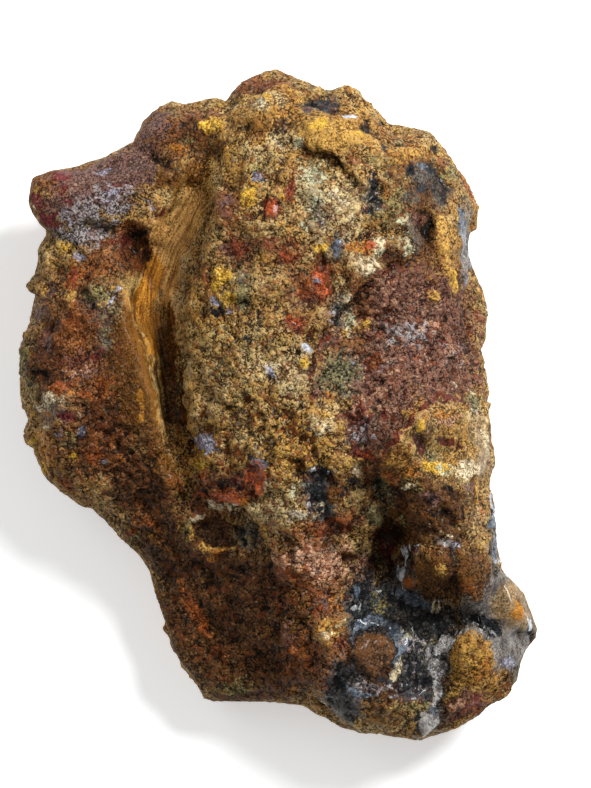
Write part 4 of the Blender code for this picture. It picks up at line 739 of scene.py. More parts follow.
        (27.8, 5.5, 0.5, 1.2, 30, 0.6), (16.5, 11.5, 1, 0.7, 0, 0.72), (14, 13.6, 0.9, 0.5, 0, 0.62),
        (-11.3, -13.6, 0.6, 1.4, 20, 0.9), (-8, -12.6, 0.9, 0.9, 0, 0.85), (24, -15.5, 1.4, 0.8, 0, 0.8),
        (25.3, -17.6, 1.6, 0.6, -20, 0.8), (21.4, -24.3, 0.5, 0.9, 0, 0.9), (20, -45.6, 1, 0.8, 0, 0.7),
        (40.9, -38, 0.6, 1.5, 20, 0.8), (9.4, 38, 1.8, 0.4, -48, 0.7), (25.5, 41.1, 1.1, 0.5, -52, 0.8),
        (34, -17.2, 0.3, 0.9, 0, 0.85), (35.8, -26.6, 0.4, 0.9, -30, 0.72),
        (-8, 34.8, 1.5, 0.25, -25, 0.72), (6.3, 33.2, 0.25, 2.4, -18, 0.6), (18.2, -26, 1.2, 1.2, 0, 0.6),
        (31, -33.8, 0.5, 0.3, 0, 0.6), (-32.2, -7, 0.5, 0.5, 0, 0.75), (-19.6, 39.7, 3, 0.3, -32, 0.72),
        (-5.6, -22, 0.6, 1.6, 16, 0.62), (20.6, -16.4, 1, 0.6, 30, 0.66), (27.2, -13.6, 1.4, 0.6, -20, 0.7),
        (29.4, -17.4, 0.6, 1.4, 10, 0.66),
    ],
}

# How softly the others blend: where their gloss is over that of a glassy one, and elsewhere
BLEND_WHERE_GLASSY = 0.04
USUAL_BLEND = 0.10
GLASSY = 0.4

# How the patches lie: what their half sizes are multiplied by, how much shows at the sawn edge and on an
# upright wall, the weight at which their rise sets in, and two bends of their places, each with its size
# and its reach in millimetres
PATCH_SPREAD = 1.2
SEEN_AT_EDGE = 0.25
SEEN_ON_WALL = 0.6
RISES_FROM = 0.25
COARSE_BEND = (2.6, 1.0)
FINE_BEND = (0.9, 0.45)

# How the rest is scattered: how much thinner in view, the size of the noise, its mean, swing and limit, and
# how far apart two minerals read it
THINNED_IN_VIEW = 0.75
SCATTER_SIZE = 6.5
SCATTER_MEAN = 0.8
SCATTER_SWING = 1.3
SCATTER_LIMIT = 1.6
SCATTER_STRIDE = 17.3
SCATTER_LEVEL = 5.1

# What the material reads of the shape: fine and coarse hollows, each by its reach in mesh squares and its
# weight, then how grainy the rind is, then the streaks of the flute: how far along it they set in, how far
# they take to do so, how sharply they end at its sides, and how wide they are on the whole and on the right
# The hollows darken the rind's colour there, as painted shade
FINE_REACH = 3
FINE_WEIGHT = 1.6
COARSE_REACH = 9
COARSE_WEIGHT = 0.25
COARSE_LIMITS = (-0.5, 0.8)
GRAIN_LIMITS = (0.15, 1.3)
STREAKS_FROM = 3.5
STREAKS_FADE = 7.0
STREAK_SIDES = 6
STREAKS_NARROWER = 0.95
STREAKS_WIDER_RIGHT = 1.35

# The plain ochre rind under all of them, each tone light and dark
OCHRE_TONES = ((194, 148, 78), (56, 36, 16))
TAN_TONES = ((196, 164, 108), (72, 50, 28))
OLIVE_TONES = ((146, 124, 74), (42, 34, 18))
# The tone of the painted glints, highlights painted on single crumbs
PAINTED_GLINT_TONE = (240, 212, 164)
STAIN_TONE = (142, 74, 38)
ASH_TONE = (150, 146, 132)

# The grains that the rind's material draws, in millimetres
RIND_BEND = (0.9, 0.9)
RIND_DUST = 0.30
RIND_SPECK = 0.42
RIND_CRUMB = 0.85
RIND_GRIT = 0.9
RIND_MOTTLE = 2.2
RIND_UNEVEN = 3.6
RIND_BROAD = 6.0
STREAK_LENGTHS = 0.10
STREAK_WIDTHS = 2.2
RELIEF = 0.26

# The sawn and polished face
SAWN_TONES = {
    "milky": (176, 180, 190), "smoky": (96, 104, 116), "gold": (206, 150, 58), "rust": (150, 62, 30),
    "black": (26, 22, 22),
}
SAWN_CLOUDS = 14.0
SAWN_PLUMES = 6.0
SAWN_SPRAYS = 2.2

# The chart for the baked looks: the margin and the size of the rind's part, the middle of the part of the
# sawn face, and the millimetres of that face that would fill the chart
CHART_MARGIN = 0.003
RIND_CHART = (0.734, 0.994)
SAWN_CHART = (0.875, 0.18)
SAWN_CHART_SPAN = 340

# The studio, in metres: the lamps have their place, size and power
FLOOR_TONE = (246, 246, 246)
FLOOR_GLOW = 0.45
FLOOR_SIZE = 3.0
FLOOR_DROP = 0.0003
SKY_COLOUR = (0.98, 0.99, 1.0, 1.0)
SKY_STRENGTH = 0.30
LAMPS = {
    "key_light": ((0.60, 0.62, 0.80), 0.45, 22.0),
    "fill_light": ((-0.8, 0.5, 0.9), 0.9, 3.0),
}

# The camera looks straight down and frames 126.5 mm of the level that the picture's scale holds for
CAMERA_HEIGHT = 1.5
CAMERA_REACH = 20
FRAMED_LEVEL = 13.0
FRAMED_HEIGHT = 126.5
FRAME_MIDDLE = (2.8, 1.6)
SENSOR = 36.0


def linear(tone):
    """An sRGB tone from 0 to 255 as the linear colour that a shader takes."""
    shares = [value / 255 for value in tone]
    channels = [share / 12.92 if share <= 0.04045 else ((share + 0.055) / 1.055) ** 2.4 for share in shares]
    return (*channels, 1.0)


def swelling(x, y, form):
    """The rise of one oval form at each place. A high squareness gives it a flat top and steep sides."""
    middle_x, middle_y, half_length, half_width, turn, rise, squareness = form
    cosine = math.cos(math.radians(turn))
    sine = math.sin(math.radians(turn))
    along = ((x - middle_x) * cosine + (y - middle_y) * sine) / half_length
    across = ((y - middle_y) * cosine - (x - middle_x) * sine) / half_width
    return rise * np.exp(-((along**2 + across**2) ** squareness))


def stretched(x, y, stretches):
    """The sum of some stretches at each place."""
    return sum(swelling(x, y, (*stretch, STRETCH_SQUARENESS)) for stretch in stretches)


def follow(x, y, route):
    """The nearest point of a route: the way to it, how far left of it each place is, its widths and rise."""
    nearest = np.full(x.shape, np.inf)
    found = np.zeros((5, *x.shape))
    before = 0.0
    for start, end in zip(route, route[1:]):
        run_x = end[0] - start[0]
        run_y = end[1] - start[1]
        run = math.hypot(run_x, run_y)
        share = np.clip(((x - start[0]) * run_x + (y - start[1]) * run_y) / run**2, 0, 1)
        away_x = x - start[0] - share * run_x
        away_y = y - start[1] - share * run_y
        away = np.hypot(away_x, away_y)
        to_left = np.where(run_x * away_y - run_y * away_x > 0, away, -away)
        left, right, rise = (start[i] + share * (end[i] - start[i]) for i in (2, 3, 4))
        here = np.stack([before + share * run, to_left, left, right, rise])
        found = np.where(away < nearest, here, found)
        nearest = np.minimum(away, nearest)
        before += run
    return found


def ridge(x, y, squareness, route):
    """The rise of one ridge, or of a furrow where it is negative."""
    _, to_left, left, right, rise = follow(x, y, route)
    return rise * np.exp(-(np.abs(to_left / np.where(to_left > 0, left, right)) ** (2 * squareness)))


def rind_height(x, y):
    """How high the rind stands over the sawn face, before its shoulder falls away."""
    height = np.full(x.shape, CROWN)
    for form in SWELLINGS.values():
        height += swelling(x, y, form)
    for squareness, route in ROUTES.values():
        height += ridge(x, y, squareness, route)
    return height


def round_the_stone(angle, table):
    """A value that changes smoothly round the stone, from a table of angles and values."""
    degrees = np.degrees(angle)
    angles = [row[0] for row in table]
    values = [row[1] for row in table]
    smooth = np.zeros(angle.shape)
    for turn in AVERAGED_TURNS:
        smooth += np.interp(degrees + turn, angles, values, period=360) / len(AVERAGED_TURNS)
    return smooth


def outline_radius(angle):
    """How far the stone's edge is from the hub at each angle."""
    points = np.array(OUTLINE) - HUB
    angles = np.arctan2(points[:, 1], points[:, 0])
    radii = np.hypot(points[:, 0], points[:, 1]) + WORN_OFF
    return np.interp(angle, angles, radii, period=2 * math.pi)


def cut_profile(share):
    """Radius, height over the waist and depth under it, each as a share, evenly spaced along the cut."""
    steps = np.linspace(0, 1, CUT_SAMPLES)
    radius = 1 - (1 - steps) ** 3
    over = (1 - radius**SHOULDER_POWER) ** (1 / SHOULDER_ROOT)
    radius = np.concatenate([radius, np.ones(steps.size)])
    over = np.concatenate([over, np.zeros(steps.size)])
    under = np.concatenate([np.zeros(steps.size), steps])
    height = TYPICAL_RISE * over - TYPICAL_WAIST * under
    length = np.concatenate([[0], np.cumsum(np.hypot(np.diff(TYPICAL_RADIUS * radius), np.diff(height)))])
    length /= length[-1]
    return (np.interp(share, length, values) for values in (radius, over, under))


def wrap_over_stone(grid_x, grid_y):
    """Places in millimetres for the points of a square grid from -1 to 1, whose edge becomes the sawn edge.

    Also the angle of each point and the height of the stone's widest line there.
    """
    ring = np.maximum(np.abs(grid_x), np.abs(grid_y))
    wide = np.abs(grid_x) >= np.abs(grid_y)
    longer = np.where(wide, grid_x, grid_y)
    shorter = np.where(wide, grid_y, grid_x)
    lean = math.pi / 4 * shorter / np.where(ring == 0, 1, longer)
    angle = np.where(wide, lean, math.pi / 2 - lean) + np.where(longer < 0, math.pi, 0)

    radius, over, under = cut_profile(ring)
    oval = 1 / np.hypot(np.cos(angle) / OVAL[0], np.sin(angle) / OVAL[1])
    reach = oval + (outline_radius(angle) - oval) * radius**2
    reach *= 1 - round_the_stone(angle, SAWN_TUCKS) * under**BULGE
    x = HUB[0] + reach * radius * np.cos(angle)
    y = HUB[1] + reach * radius * np.sin(angle)
    waist = round_the_stone(angle, WAIST_HEIGHTS)
    z = waist * (1 - under) + (rind_height(x, y) - waist) * over
    return x, y, z, angle, waist


def flank_relief(angle, z):
    """How far the forms round the sides stand out or go in at each place, in millimetres."""
    relief = np.zeros(z.shape)
    for middle, *form in FLANK_FORMS.values():
        along_side = ((np.degrees(angle) - middle + 180) % 360 - 180) * MM_PER_DEGREE
        relief += swelling(along_side, z, (0, *form))
    return relief


def lumps(places, size, octaves, smoothness=SMOOTHNESS):
    """Lumps of about this size and finer ones on them, from about -1 to 1."""
    scaled = [Vector(place) / size for place in places]
    return np.array([noise.fractal(place, smoothness, LACUNARITY, octaves) for place in scaled])


def cells(places, size):
    """Rounded lumps parted by creases, from 0 in the creases to 1."""
    found = np.array([noise.voronoi(Vector(place) / size)[0][:2] for place in places])
    creased = np.clip((found[:, 1] - found[:, 0]) * CREASE_STEEPNESS, 0, 1) ** CREASE_ROUNDING
    return creased * np.clip(CRUMB_TOP - found[:, 0], 0, 1)


def facets(places, size):
    """Tilted facets parted by small steps, from -1 to 1."""
    tilts = []
    for place in places:
        scaled = Vector(place) / size
        centre = noise.voronoi(scaled)[1][0]
        tilt = noise.noise_vector(centre * FACET_SHUFFLE)
        tilts.append(np.clip((scaled - centre).dot(tilt) * FACET_TILT, -1, 1))
    return np.array(tilts)


def bent_places(places):
    """The places moved about a little, so that what is laid on by them gets a ragged edge."""
    bent = np.array(places)
    for size, reach in (COARSE_BEND, FINE_BEND):
        bent += reach * np.array([noise.noise_vector(Vector(place) / size) for place in places])
    return bent


def patched(bent, patches):
    """How much of a mineral its patches lay at each place."""
    weight = np.zeros(len(bent))
    for x, y, half_length, half_width, turn, strength in patches:
        spread = (x, y, half_length * PATCH_SPREAD, half_width * PATCH_SPREAD, turn, strength, 1.0)
        weight = np.maximum(weight, swelling(bent[:, 0], bent[:, 1], spread))
    return weight


def mineral_weights(places, facing_up, waist):
    """How much of each mineral there is at each place. Over one half it shows."""
    bent = bent_places(places)
    low_down = np.clip(SEEN_AT_EDGE + places[:, 2] / waist * (1 - SEEN_AT_EDGE), 0, 1)
    seen = low_down * np.clip(SEEN_ON_WALL + facing_up, 0, 1)
    weights = {}
    for number, (name, mineral) in enumerate(MINERALS.items()):
        shift = Vector((SCATTER_STRIDE * number, 0, SCATTER_LEVEL))
        elsewhere = np.array([noise.noise(Vector(place) / SCATTER_SIZE + shift) for place in bent])
        strewn = np.clip(SCATTER_MEAN + SCATTER_SWING * elsewhere, 0, SCATTER_LIMIT)
        scattered = mineral.scatter * (1 - THINNED_IN_VIEW * seen) * strewn
        weights[name] = np.maximum(patched(bent, PATCHES[name]) * seen, scattered)
    return weights


def running_mean(grid, reach):
    """The mean over a few rows on both sides of each row of a grid."""
    padded = np.pad(grid, reach, mode="edge")
    total = np.zeros(grid.shape)
    for row in range(2 * reach + 1):
        total += padded[row : row + total.shape[0], reach : reach + total.shape[1]]
    return total / (2 * reach + 1)


def hollowness(heights, reach):
    """How far each point of the rind's grid lies under the mean of those around it."""
    grid = heights.reshape(GRID + 1, GRID + 1)
    mean = running_mean(running_mean(grid, reach).T, reach).T
    return (mean - grid).ravel()


def wrapped_points(stone):
    """Wraps the grid over the stone. Gives what is known at each of its points."""
    grid = np.array([vertex.co for vertex in stone.verts])
    x, y, z, angle, waist = wrap_over_stone(grid[:, 0], grid[:, 1])
    places = np.stack([x, y, z], axis=1)
    for vertex, place in zip(stone.verts, places):
        vertex.co = place
    stone.normal_update()
    facing_up = np.array([vertex.normal.z for vertex in stone.verts])
    smooth = stretched(x, y, SMOOTH_STRETCHES)
    rough = np.clip(1 - smooth, 0, 1)
    finer = np.clip(stretched(x, y, FINER_STRETCHES), *FINER_LIMITS)
    weights = mineral_weights(places, facing_up, waist)
    return SimpleNamespace(
        x=x, y=y, z=z, places=places, angle=angle, waist=waist, facing_up=facing_up, smooth=smooth,
        rough=rough, finer=finer, weights=weights,
    )


def roughening(at):
    """How far each point of the rind goes in or out for its crust and its smaller forms."""
    sideways = 1 - np.clip(at.facing_up, 0, 1)
    near_waist = np.exp(-(((at.z - at.waist) / KEPT_HEIGHT) ** 2))
    crumbly = at.rough * (1 - CALM_AT_WAIST * near_waist) * (1 - at.finer)

    out = LUMP_RISE * at.rough * lumps(at.places, LUMP_SIZE, LUMP_OCTAVES)
    flank_lumps = FLANK_LUMP_RISE * lumps(at.places, FLANK_LUMP_SIZE, FLANK_OCTAVES)
    out += sideways * (flank_relief(at.angle, at.z) + flank_lumps)
    out *= 1 - KEPT_AT_WAIST * sideways * near_waist
    for route in FINE_ROUTES.values():
        out += ridge(at.x, at.y, FINE_SQUARENESS, route)
    out += GRIT_RISE * crumbly * lumps(at.places, GRIT_SIZE, GRIT_OCTAVES, GRIT_SMOOTHNESS)
    for size, rise in FACETS:
        out += rise * crumbly * facets(at.places, size)
    crumbs = cells(bent_places(at.places), CRUMB_SIZE) - 0.5
    out += CRUMB_RISE * np.clip(crumbly, LEAST_CRUMBS, 1) * crumbs
    for name, weight in at.weights.items():
        out += MINERALS[name].rise * np.clip((weight - RISES_FROM) * 2, 0, 1)
    return out * np.clip(at.z / FADE_OVER_EDGE, 0, 1)


def material_readings(stone, at, out):
    """What the material reads at each point of the rind."""
    # How far each point lies in a hollow, where the material paints shade
    fine = hollowness(out, FINE_REACH)
    coarse = hollowness(np.array([vertex.co.z for vertex in stone.verts]), COARSE_REACH)
    hollow = np.clip(fine * FINE_WEIGHT, -1, 1)
    hollow += np.clip(coarse * COARSE_WEIGHT, *COARSE_LIMITS) * (at.facing_up > 0)

    along, to_left, left, right, _ = follow(at.x, at.y, ROUTES["flute"][1])
    across = to_left / np.where(to_left > 0, left, right * STREAKS_WIDER_RIGHT)
    in_flute = np.exp(-((across * STREAKS_NARROWER) ** STREAK_SIDES)) * np.clip(at.smooth, 0, 1)
    in_flute *= np.clip((along - STREAKS_FROM) / STREAKS_FADE, 0, 1)
    return {
        "hollow": hollow,
        "grain": np.clip(at.rough * (1 - at.finer * 0.8), *GRAIN_LIMITS),
        "finer": at.finer,
        "along_flute": along,
        "left_of_flute": to_left,
        "in_flute": in_flute,
        **at.weights,
    }


def shape_rind(stone):
    """Wraps the grid over the stone and roughens it. Gives what the material reads at each point."""
    at = wrapped_points(stone)
    out = roughening(at)
    for vertex, distance in zip(stone.verts, out):
        vertex.co += vertex.normal * distance
        vertex.co.z = 0 if vertex.is_boundary else max(vertex.co.z, LOWEST_RIND)
    return material_readings(stone, at, out)


def close_sawn_face(stone):
    """Draws the sawn edge inwards in narrow rings and fills the rest with one flat face."""
    rim = [edge for edge in stone.edges if edge.is_boundary]
    sawn_faces = []
    for share in SAWN_RINGS:
        drawn = bmesh.ops.extrude_edge_only(stone, edges=rim)["geom"]
        points = [part for part in drawn if isinstance(part, bmesh.types.BMVert)]
        rim = [part for part in drawn if isinstance(part, bmesh.types.BMEdge) and part.is_boundary]
        sawn_faces += [part for part in drawn if isinstance(part, bmesh.types.BMFace)]
        for point in points:
            flat = Vector((*HUB, 0))
            point.co = flat + (point.co - flat) * share
    sawn_faces += bmesh.ops.contextual_create(stone, geom=rim)["faces"]
    for face in sawn_faces:
        face.material_index = 1


def unwrap(stone):
    """A chart for the rind, which is the grid itself, and a smaller one for the sawn face."""
    layer = stone.loops.layers.uv.new("OFBake")
    for face in stone.faces:
        for loop in face.loops:
            if face.material_index == 1:
                shares = (loop.vert.co.x / SAWN_CHART_SPAN, loop.vert.co.y / SAWN_CHART_SPAN)
                loop[layer].uv = [middle + share for middle, share in zip(SAWN_CHART, shares)]
            else:
                row, column = divmod(loop.vert.index, GRID + 1)
                shares = (column / GRID, row / GRID)
                loop[layer].uv = [CHART_MARGIN + side * share for side, share in zip(RIND_CHART, shares)]


def fit_to_solid(stone):
    """Sets the fine mesh in the box of its solid. Gives where the outline's origin goes."""
    low, high = (Vector(corner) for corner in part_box(NODE))
    places = np.array([vertex.co for vertex in stone.verts])
    mesh_low = Vector(places.min(axis=0))
    mesh_high = Vector(places.max(axis=0))
    scale = Vector([(high[i] - low[i]) / (mesh_high[i] - mesh_low[i]) for i in range(3)])
    bmesh.ops.translate(stone, verts=stone.verts, vec=-mesh_low)
    bmesh.ops.scale(stone, verts=stone.verts, vec=scale)
    bmesh.ops.translate(stone, verts=stone.verts, vec=low)
    return low - Vector([mesh_low[i] * scale[i] for i in range(3)])


def add_object(name, data):
    """An object at the origin with this mesh, lamp or camera."""
    thing = bpy.data.objects.new(name, data)
    bpy.context.scene.collection.objects.link(thing)
    return thing


def add_readings(mesh, readings):
    """Gives the mesh its readings. The points of the sawn face come after the rind's and read 0."""
    for name, values in readings.items():
        attribute = mesh.attributes.new(name, "FLOAT", "POINT")
        padded = np.zeros(len(mesh.vertices), np.float32)
        padded[: len(values)] = values
        attribute.data.foreach_set("value", padded)


def make_stone():
    """The fine mesh, and where the outline's origin is in the scene."""
    stone = bmesh.new()
    bmesh.ops.create_grid(stone, x_segments=GRID, y_segments=GRID, size=1)
    stone.verts.index_update()
    readings = shape_rind(stone)
    close_sawn_face(stone)
    stone.verts.index_update()
    bmesh.ops.recalc_face_normals(stone, faces=stone.faces)
    unwrap(stone)
    origin = fit_to_solid(stone)
    for face in stone.faces:
        face.smooth = True
    for edge in stone.edges:
        edge.smooth = len({face.material_index for face in edge.link_faces}) == 1
    mesh = bpy.data.meshes.new(PIECE)
    stone.to_mesh(mesh)
    stone.free()
    add_readings(mesh, readings)
    return add_object(PIECE, mesh), origin


class Wire:
    """A socket of a material's node tree. Arithmetic on it adds Math nodes."""

    def __init__(self, tree, socket):
        self.tree = tree
        self.socket = socket

    def math(self, operation, *values):
        return self.tree.add("ShaderNodeMath", {"operation": operation}, values)

    def __add__(self, other):
        return self.math("ADD", self, other)

    __radd__ = __add__

    def __sub__(self, other):
        return self.math("SUBTRACT", self, other)

    def __rsub__(self, other):
        return self.math("SUBTRACT", other, self)

    def __mul__(self, other):
        return self.math("MULTIPLY", self, other)

    __rmul__ = __mul__

    def step(self, low, high):
        """From 0 at low to 1 at high, with soft ends."""
        settings = {"interpolation_type": "SMOOTHSTEP"}
        inputs = {"Value": self, "From Min": low, "From Max": high}
        return self.tree.add("ShaderNodeMapRange", settings, inputs)


class Tree:
    """A material's nodes."""

    def __init__(self, name):
        self.material = bpy.data.materials.new(name)
        self.material.use_nodes = True
        self.nodes = self.material.node_tree.nodes
        self.links = self.material.node_tree.links
        self.shader = self.nodes["Principled BSDF"]
        self.place = self.tint(self.add("ShaderNodeTexCoord", {}, {}, "Object"), 1 / MM)

    def add(self, kind, settings, inputs, output=0):
        """A node, with its settings made before its sockets are filled or linked."""
        node = self.nodes.new(kind)
        for name, value in settings.items():
            setattr(node, name, value)
        self.fill(node, inputs)
        return Wire(self, node.outputs[output])

    def fill(self, node, inputs):
        """Sets or links the sockets of a node, named or in their order."""
        for key, value in inputs.items() if isinstance(inputs, dict) else enumerate(inputs):
            if isinstance(value, Wire):
                self.links.new(value.socket, node.inputs[key])
            else:
                node.inputs[key].default_value = value

    def finish(self, inputs):
        """The material, with the sockets of its shader filled."""
        self.fill(self.shader, inputs)
        return self.material

    def noise(self, size, detail, place=None, roughness=0.55, distortion=0.0):
        """Noise with features of about this size in millimetres, from 0 to 1."""
        inputs = {"Vector": place or self.place, "Scale": 1 / size, "Detail": detail}
        inputs.update({"Roughness": roughness, "Distortion": distortion})
        return self.add("ShaderNodeTexNoise", {}, inputs)

    def cells(self, size, output, place):
        """Crumbs of about this size in millimetres: how far from its middle, or a colour drawn for each."""
        return self.add("ShaderNodeTexVoronoi", {}, {"Vector": place, "Scale": 1 / size}, output)

    def channels(self, colour):
        """The three values of a colour."""
        return [self.add("ShaderNodeSeparateColor", {}, [colour], output) for output in range(3)]

    def bend(self, size, reach):
        """The place moved about by noise, so that what is laid by it gets ragged."""
        inputs = {"Vector": self.place, "Scale": 1 / size, "Detail": 2.0}
        drift = self.add("ShaderNodeTexNoise", {}, inputs, "Color")
        return self.add("ShaderNodeVectorMath", {"operation": "ADD"}, [self.place, self.tint(drift, reach)])

    def reading(self, name):
        """What the mesh carries under this name."""
        return self.add("ShaderNodeAttribute", {"attribute_name": name}, {}, "Fac")

    def mix(self, one, other, share):
        """Two colours, or a wire of them, mixed by a share from 0 to 1."""
        return self.add("ShaderNodeMix", {"data_type": "RGBA"}, {0: share, 6: one, 7: other}, 2)

    def tint(self, colour, amount):
        """A colour made lighter or darker, or a place scaled, by a factor."""
        return self.add("ShaderNodeVectorMath", {"operation": "SCALE"}, {0: colour, "Scale": amount})


class Rind(Tree):
    """The noises, crumbs and readings of the rind, from which its colour and its relief are made."""

    def __init__(self):
        super().__init__("moss_agate_rind")
        bent = self.bend(*RIND_BEND)
        self.dust = self.noise(RIND_DUST, 2.0, roughness=0.8)
        self.grit = self.noise(RIND_GRIT, 4.0, bent, roughness=0.78)
        self.mottle = self.noise(RIND_MOTTLE, 4.0, bent, roughness=0.68)
        self.broad = self.noise(RIND_BROAD, 3.0)
        self.uneven = self.noise(RIND_UNEVEN, 2.0, bent).step(0.38, 0.64) * 0.9 + 0.62
        self.mounds = (1 - self.cells(RIND_CRUMB, "Distance", bent)).step(0.15, 0.75)
        self.specks = (1 - self.cells(RIND_SPECK, "Distance", bent)).step(0.15, 0.75)
        self.crumb_draws = self.channels(self.cells(RIND_CRUMB, "Color", bent))
        self.speck_draws = self.channels(self.cells(RIND_SPECK, "Color", bent))
        self.grain = self.reading("grain")
        self.in_flute = self.reading("in_flute")
        self.streaks = self.flute_streaks()

    def flute_streaks(self):
        """Long thin streaks that run along the flute, from 0 to 1."""
        along = self.reading("along_flute") * STREAK_LENGTHS
        across = self.reading("left_of_flute") * STREAK_WIDTHS
        place = self.add("ShaderNodeCombineXYZ", {}, [along, across])
        inputs = {"Vector": place, "Scale": 1.0, "Detail": 3.0}
        return self.add("ShaderNodeTexNoise", {}, inputs).step(0.3, 0.7)

    def plain_tone(self, side):
        """The tone of the rind under all minerals: its light side is 0 and its dark one 1."""
        tan_share = self.mottle.step(0.44, 0.60)
        olive_share = (self.broad * 0.6 + (1 - self.grit) * 0.4).step(0.48, 0.60) * 0.8
        tone = self.mix(linear(OCHRE_TONES[side]), linear(TAN_TONES[side]), tan_share)
        return self.mix(tone, linear(OLIVE_TONES[side]), olive_share)

    def lay_minerals(self):
        """The light tone, the dark tone and the gloss, once each mineral is laid over those before it."""
        draws = zip(self.crumb_draws + self.speck_draws, [self.grit, self.mottle] * 3)
        ragged = [draw * 0.5 + other * 0.5 for draw, other in draws]
        light = self.plain_tone(0)
        dark = self.plain_tone(1)
        gloss = 0.0
        for number, (name, mineral) in enumerate(MINERALS.items()):
            blend = mineral.blend or (BLEND_WHERE_GLASSY if mineral.gloss > GLASSY else USUAL_BLEND)
            level = self.reading(name) + (ragged[number % len(ragged)] - 0.5) * mineral.ragged
            mask = level.step(0.5 - blend, 0.5 + blend) * (1.0 - blend * 0.6)
            light = self.mix(light, linear(mineral.light), mask)
            dark = self.mix(dark, linear(mineral.dark), mask)
            gloss = gloss + (mineral.gloss - gloss) * mask
        return light, dark, gloss

    def light_share(self, calm):
        """How much of the light tone shows: crumbly, sandy where the grain is fine, sleek in the flute, less
        in hollows as painted shade.
        """
        dust = self.dust.step(0.34, 0.66)
        grit = self.grit.step(0.36, 0.64)
        crumbly = self.mounds * 0.16 + self.specks * 0.28 + dust * 0.38 + grit * 0.18
        sandy = dust * 0.55 + self.specks * 0.20 + grit * 0.25
        sleek = self.streaks * 0.30 + self.dust.step(0.25, 0.75) * 0.30 + self.mottle * 0.30 + 0.12
        share = crumbly * self.grain + sandy * (1 - self.grain)
        share = share * (1 - self.in_flute) + sleek * self.in_flute
        # Painted shade: the light tone gives way to the dark one in hollows
        share = (share - 0.5) * calm * self.uneven * 2.3 + 0.38 - self.reading("hollow") * 0.45
        share = share + (self.speck_draws[1] - 0.5) * 0.42 * calm * (1 - self.in_flute)
        return share.step(-0.05, 0.95)

    def colour(self, light, dark, gloss):
        """Light and dark crumbs, some of them stained or ashen and some brightened as painted glints, under
        broad shades.
        """
        calm = (1 - gloss * 0.6) * (1 - self.reading("finer") * 0.6)
        umber = self.reading("umber ground")
        colour = self.mix(self.tint(dark, 0.75), light, self.light_share(calm))
        stained = self.crumb_draws[0].step(0.74, 0.84) * 0.45 * calm * self.grain
        stained = stained * (1 - self.reading("basin ground"))
        colour = self.mix(colour, self.mix(dark, linear(STAIN_TONE), 0.6), stained)
        ashen = self.speck_draws[2].step(0.84, 0.92) * 0.35 * calm * self.grain * (1 - umber)
        colour = self.mix(colour, self.mix(dark, linear(ASH_TONE), 0.5), ashen)
        # Painted highlights: a few light crumbs brightened as glints
        painted_glints = self.speck_draws[0].step(0.86, 0.92) * self.specks * 0.45 * calm * (1 - self.in_flute)
        painted_glint_tone = self.tint(self.mix(light, linear(PAINTED_GLINT_TONE), 0.25), 1.25)
        colour = self.mix(colour, painted_glint_tone, painted_glints * (1 - umber * 0.5))
        shade = self.mottle * 0.6 + self.broad * 0.7 + self.crumb_draws[2] * 0.22 + 0.10
        return self.tint(colour, shade + self.in_flute * 0.30)

    def relief(self, gloss):
        """The finest crumbs, as a bent normal."""
        crumbs = (self.mounds * 0.8 + self.grit * 0.6) * self.grain
        height = crumbs + (self.specks * 0.35 + self.dust * 0.5) * (1 - self.in_flute)
        height = (height + self.streaks * self.in_flute * 0.25) * (1 - gloss * 0.7)
        return self.add("ShaderNodeBump", {}, {"Strength": 0.9, "Distance": RELIEF * MM, "Height": height})


def rind_material():
    """Crumbly minerals over ochre, with a coat of gloss where they are glassy."""
    rind = Rind()
    light, dark, gloss = rind.lay_minerals()
    return rind.finish({
        "Base Color": rind.colour(light, dark, gloss),
        "Roughness": 0.62 - gloss * 0.44,
        "Specular IOR Level": 0.08,
        "Coat Weight": gloss * 0.45,
        "Coat Roughness": 0.10,
        "Normal": rind.relief(gloss),
    })


def sawn_material():
    """Clear and milky chalcedony with plumes of yellow and rust moss, polished."""
    tree = Tree("moss_agate_sawn_face")
    tones = {name: linear(tone) for name, tone in SAWN_TONES.items()}
    clouds = tree.noise(SAWN_CLOUDS, 4.0, distortion=0.6)
    plumes = tree.noise(SAWN_PLUMES, 7.0, roughness=0.68, distortion=1.6)
    sprays = tree.noise(SAWN_SPRAYS, 6.0, roughness=0.7, distortion=0.8)
    colour = tree.mix(tones["smoky"], tones["milky"], clouds.step(0.35, 0.65))
    colour = tree.mix(colour, tones["gold"], (plumes + clouds * 0.35).step(0.66, 0.72))
    colour = tree.mix(colour, tones["rust"], (plumes + sprays * 0.4).step(0.82, 0.87))
    colour = tree.mix(colour, tones["black"], (sprays - plumes * 0.25).step(0.52, 0.56) * 0.8)
    polish = {"Roughness": 0.14, "Coat Weight": 0.4, "Coat Roughness": 0.05}
    return tree.finish({"Base Color": colour, **polish})


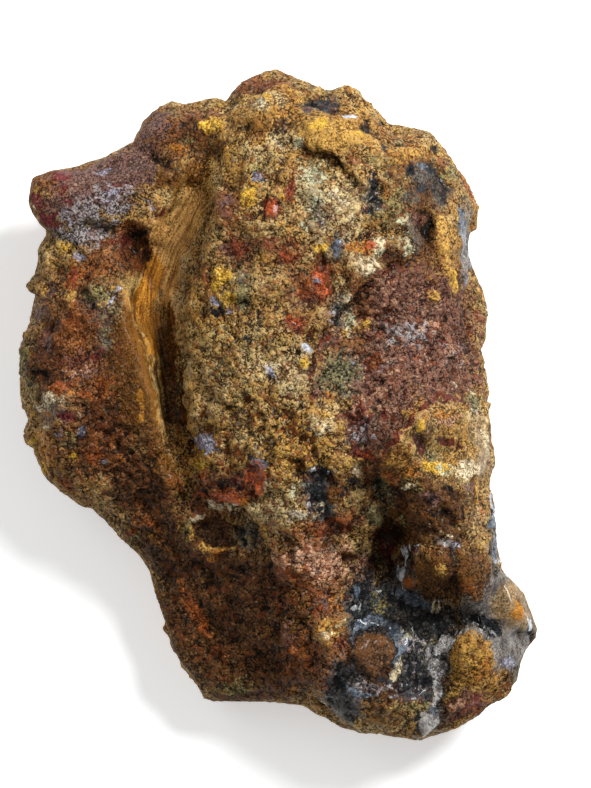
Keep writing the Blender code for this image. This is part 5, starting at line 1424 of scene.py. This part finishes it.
def floor_material():
    """Pale, and faintly aglow, so that the shadow on it stays light."""
    tree = Tree("pale_floor")
    pale = linear(FLOOR_TONE)
    glow = {"Emission Color": pale, "Emission Strength": FLOOR_GLOW}
    return tree.finish({"Base Color": pale, "Roughness": 0.9, **glow})


def make_floor():
    """The pale floor that the stone lies on."""
    floor = bmesh.new()
    bmesh.ops.create_grid(floor, x_segments=1, y_segments=1, size=FLOOR_SIZE)
    bmesh.ops.translate(floor, verts=floor.verts, vec=(0, 0, -FLOOR_DROP))
    mesh = bpy.data.meshes.new("floor")
    floor.to_mesh(mesh)
    floor.free()
    mesh.materials.append(floor_material())
    piece = add_object("floor", mesh)


def light_scene():
    """A dim sky and two round lamps that face the stone."""
    world = bpy.data.worlds.new("studio")
    bpy.context.scene.world = world
    world.use_nodes = True
    background = world.node_tree.nodes["Background"]
    background.inputs["Color"].default_value = SKY_COLOUR
    background.inputs["Strength"].default_value = SKY_STRENGTH
    for name, (place, size, power) in LAMPS.items():
        lamp = bpy.data.lights.new(name, "AREA")
        lamp.shape = "DISK"
        lamp.size = size
        lamp.energy = power
        light = add_object(name, lamp)
        light.location = place
        light.rotation_euler = (-Vector(place)).to_track_quat("-Z", "Y").to_euler()


def place_camera(origin):
    """Sets the camera over the stone, as in the photograph."""
    lens = bpy.data.cameras.new("camera")
    lens.sensor_width = SENSOR
    lens.lens = SENSOR * (CAMERA_HEIGHT / MM - FRAMED_LEVEL) / FRAMED_HEIGHT
    lens.clip_end = CAMERA_REACH
    camera = add_object("camera", lens)
    camera.location = (origin.x + FRAME_MIDDLE[0] * MM, origin.y + FRAME_MIDDLE[1] * MM, CAMERA_HEIGHT)
    bpy.context.scene.camera = camera


def main():
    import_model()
    noise.seed_set(DRAW)
    piece, origin = make_stone()
    piece.data.materials.append(rind_material())
    piece.data.materials.append(sawn_material())
    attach(piece, "root")
    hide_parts(NODE)
    make_floor()
    light_scene()
    place_camera(origin)
    bpy.context.scene.view_settings.view_transform = "Standard"


main()
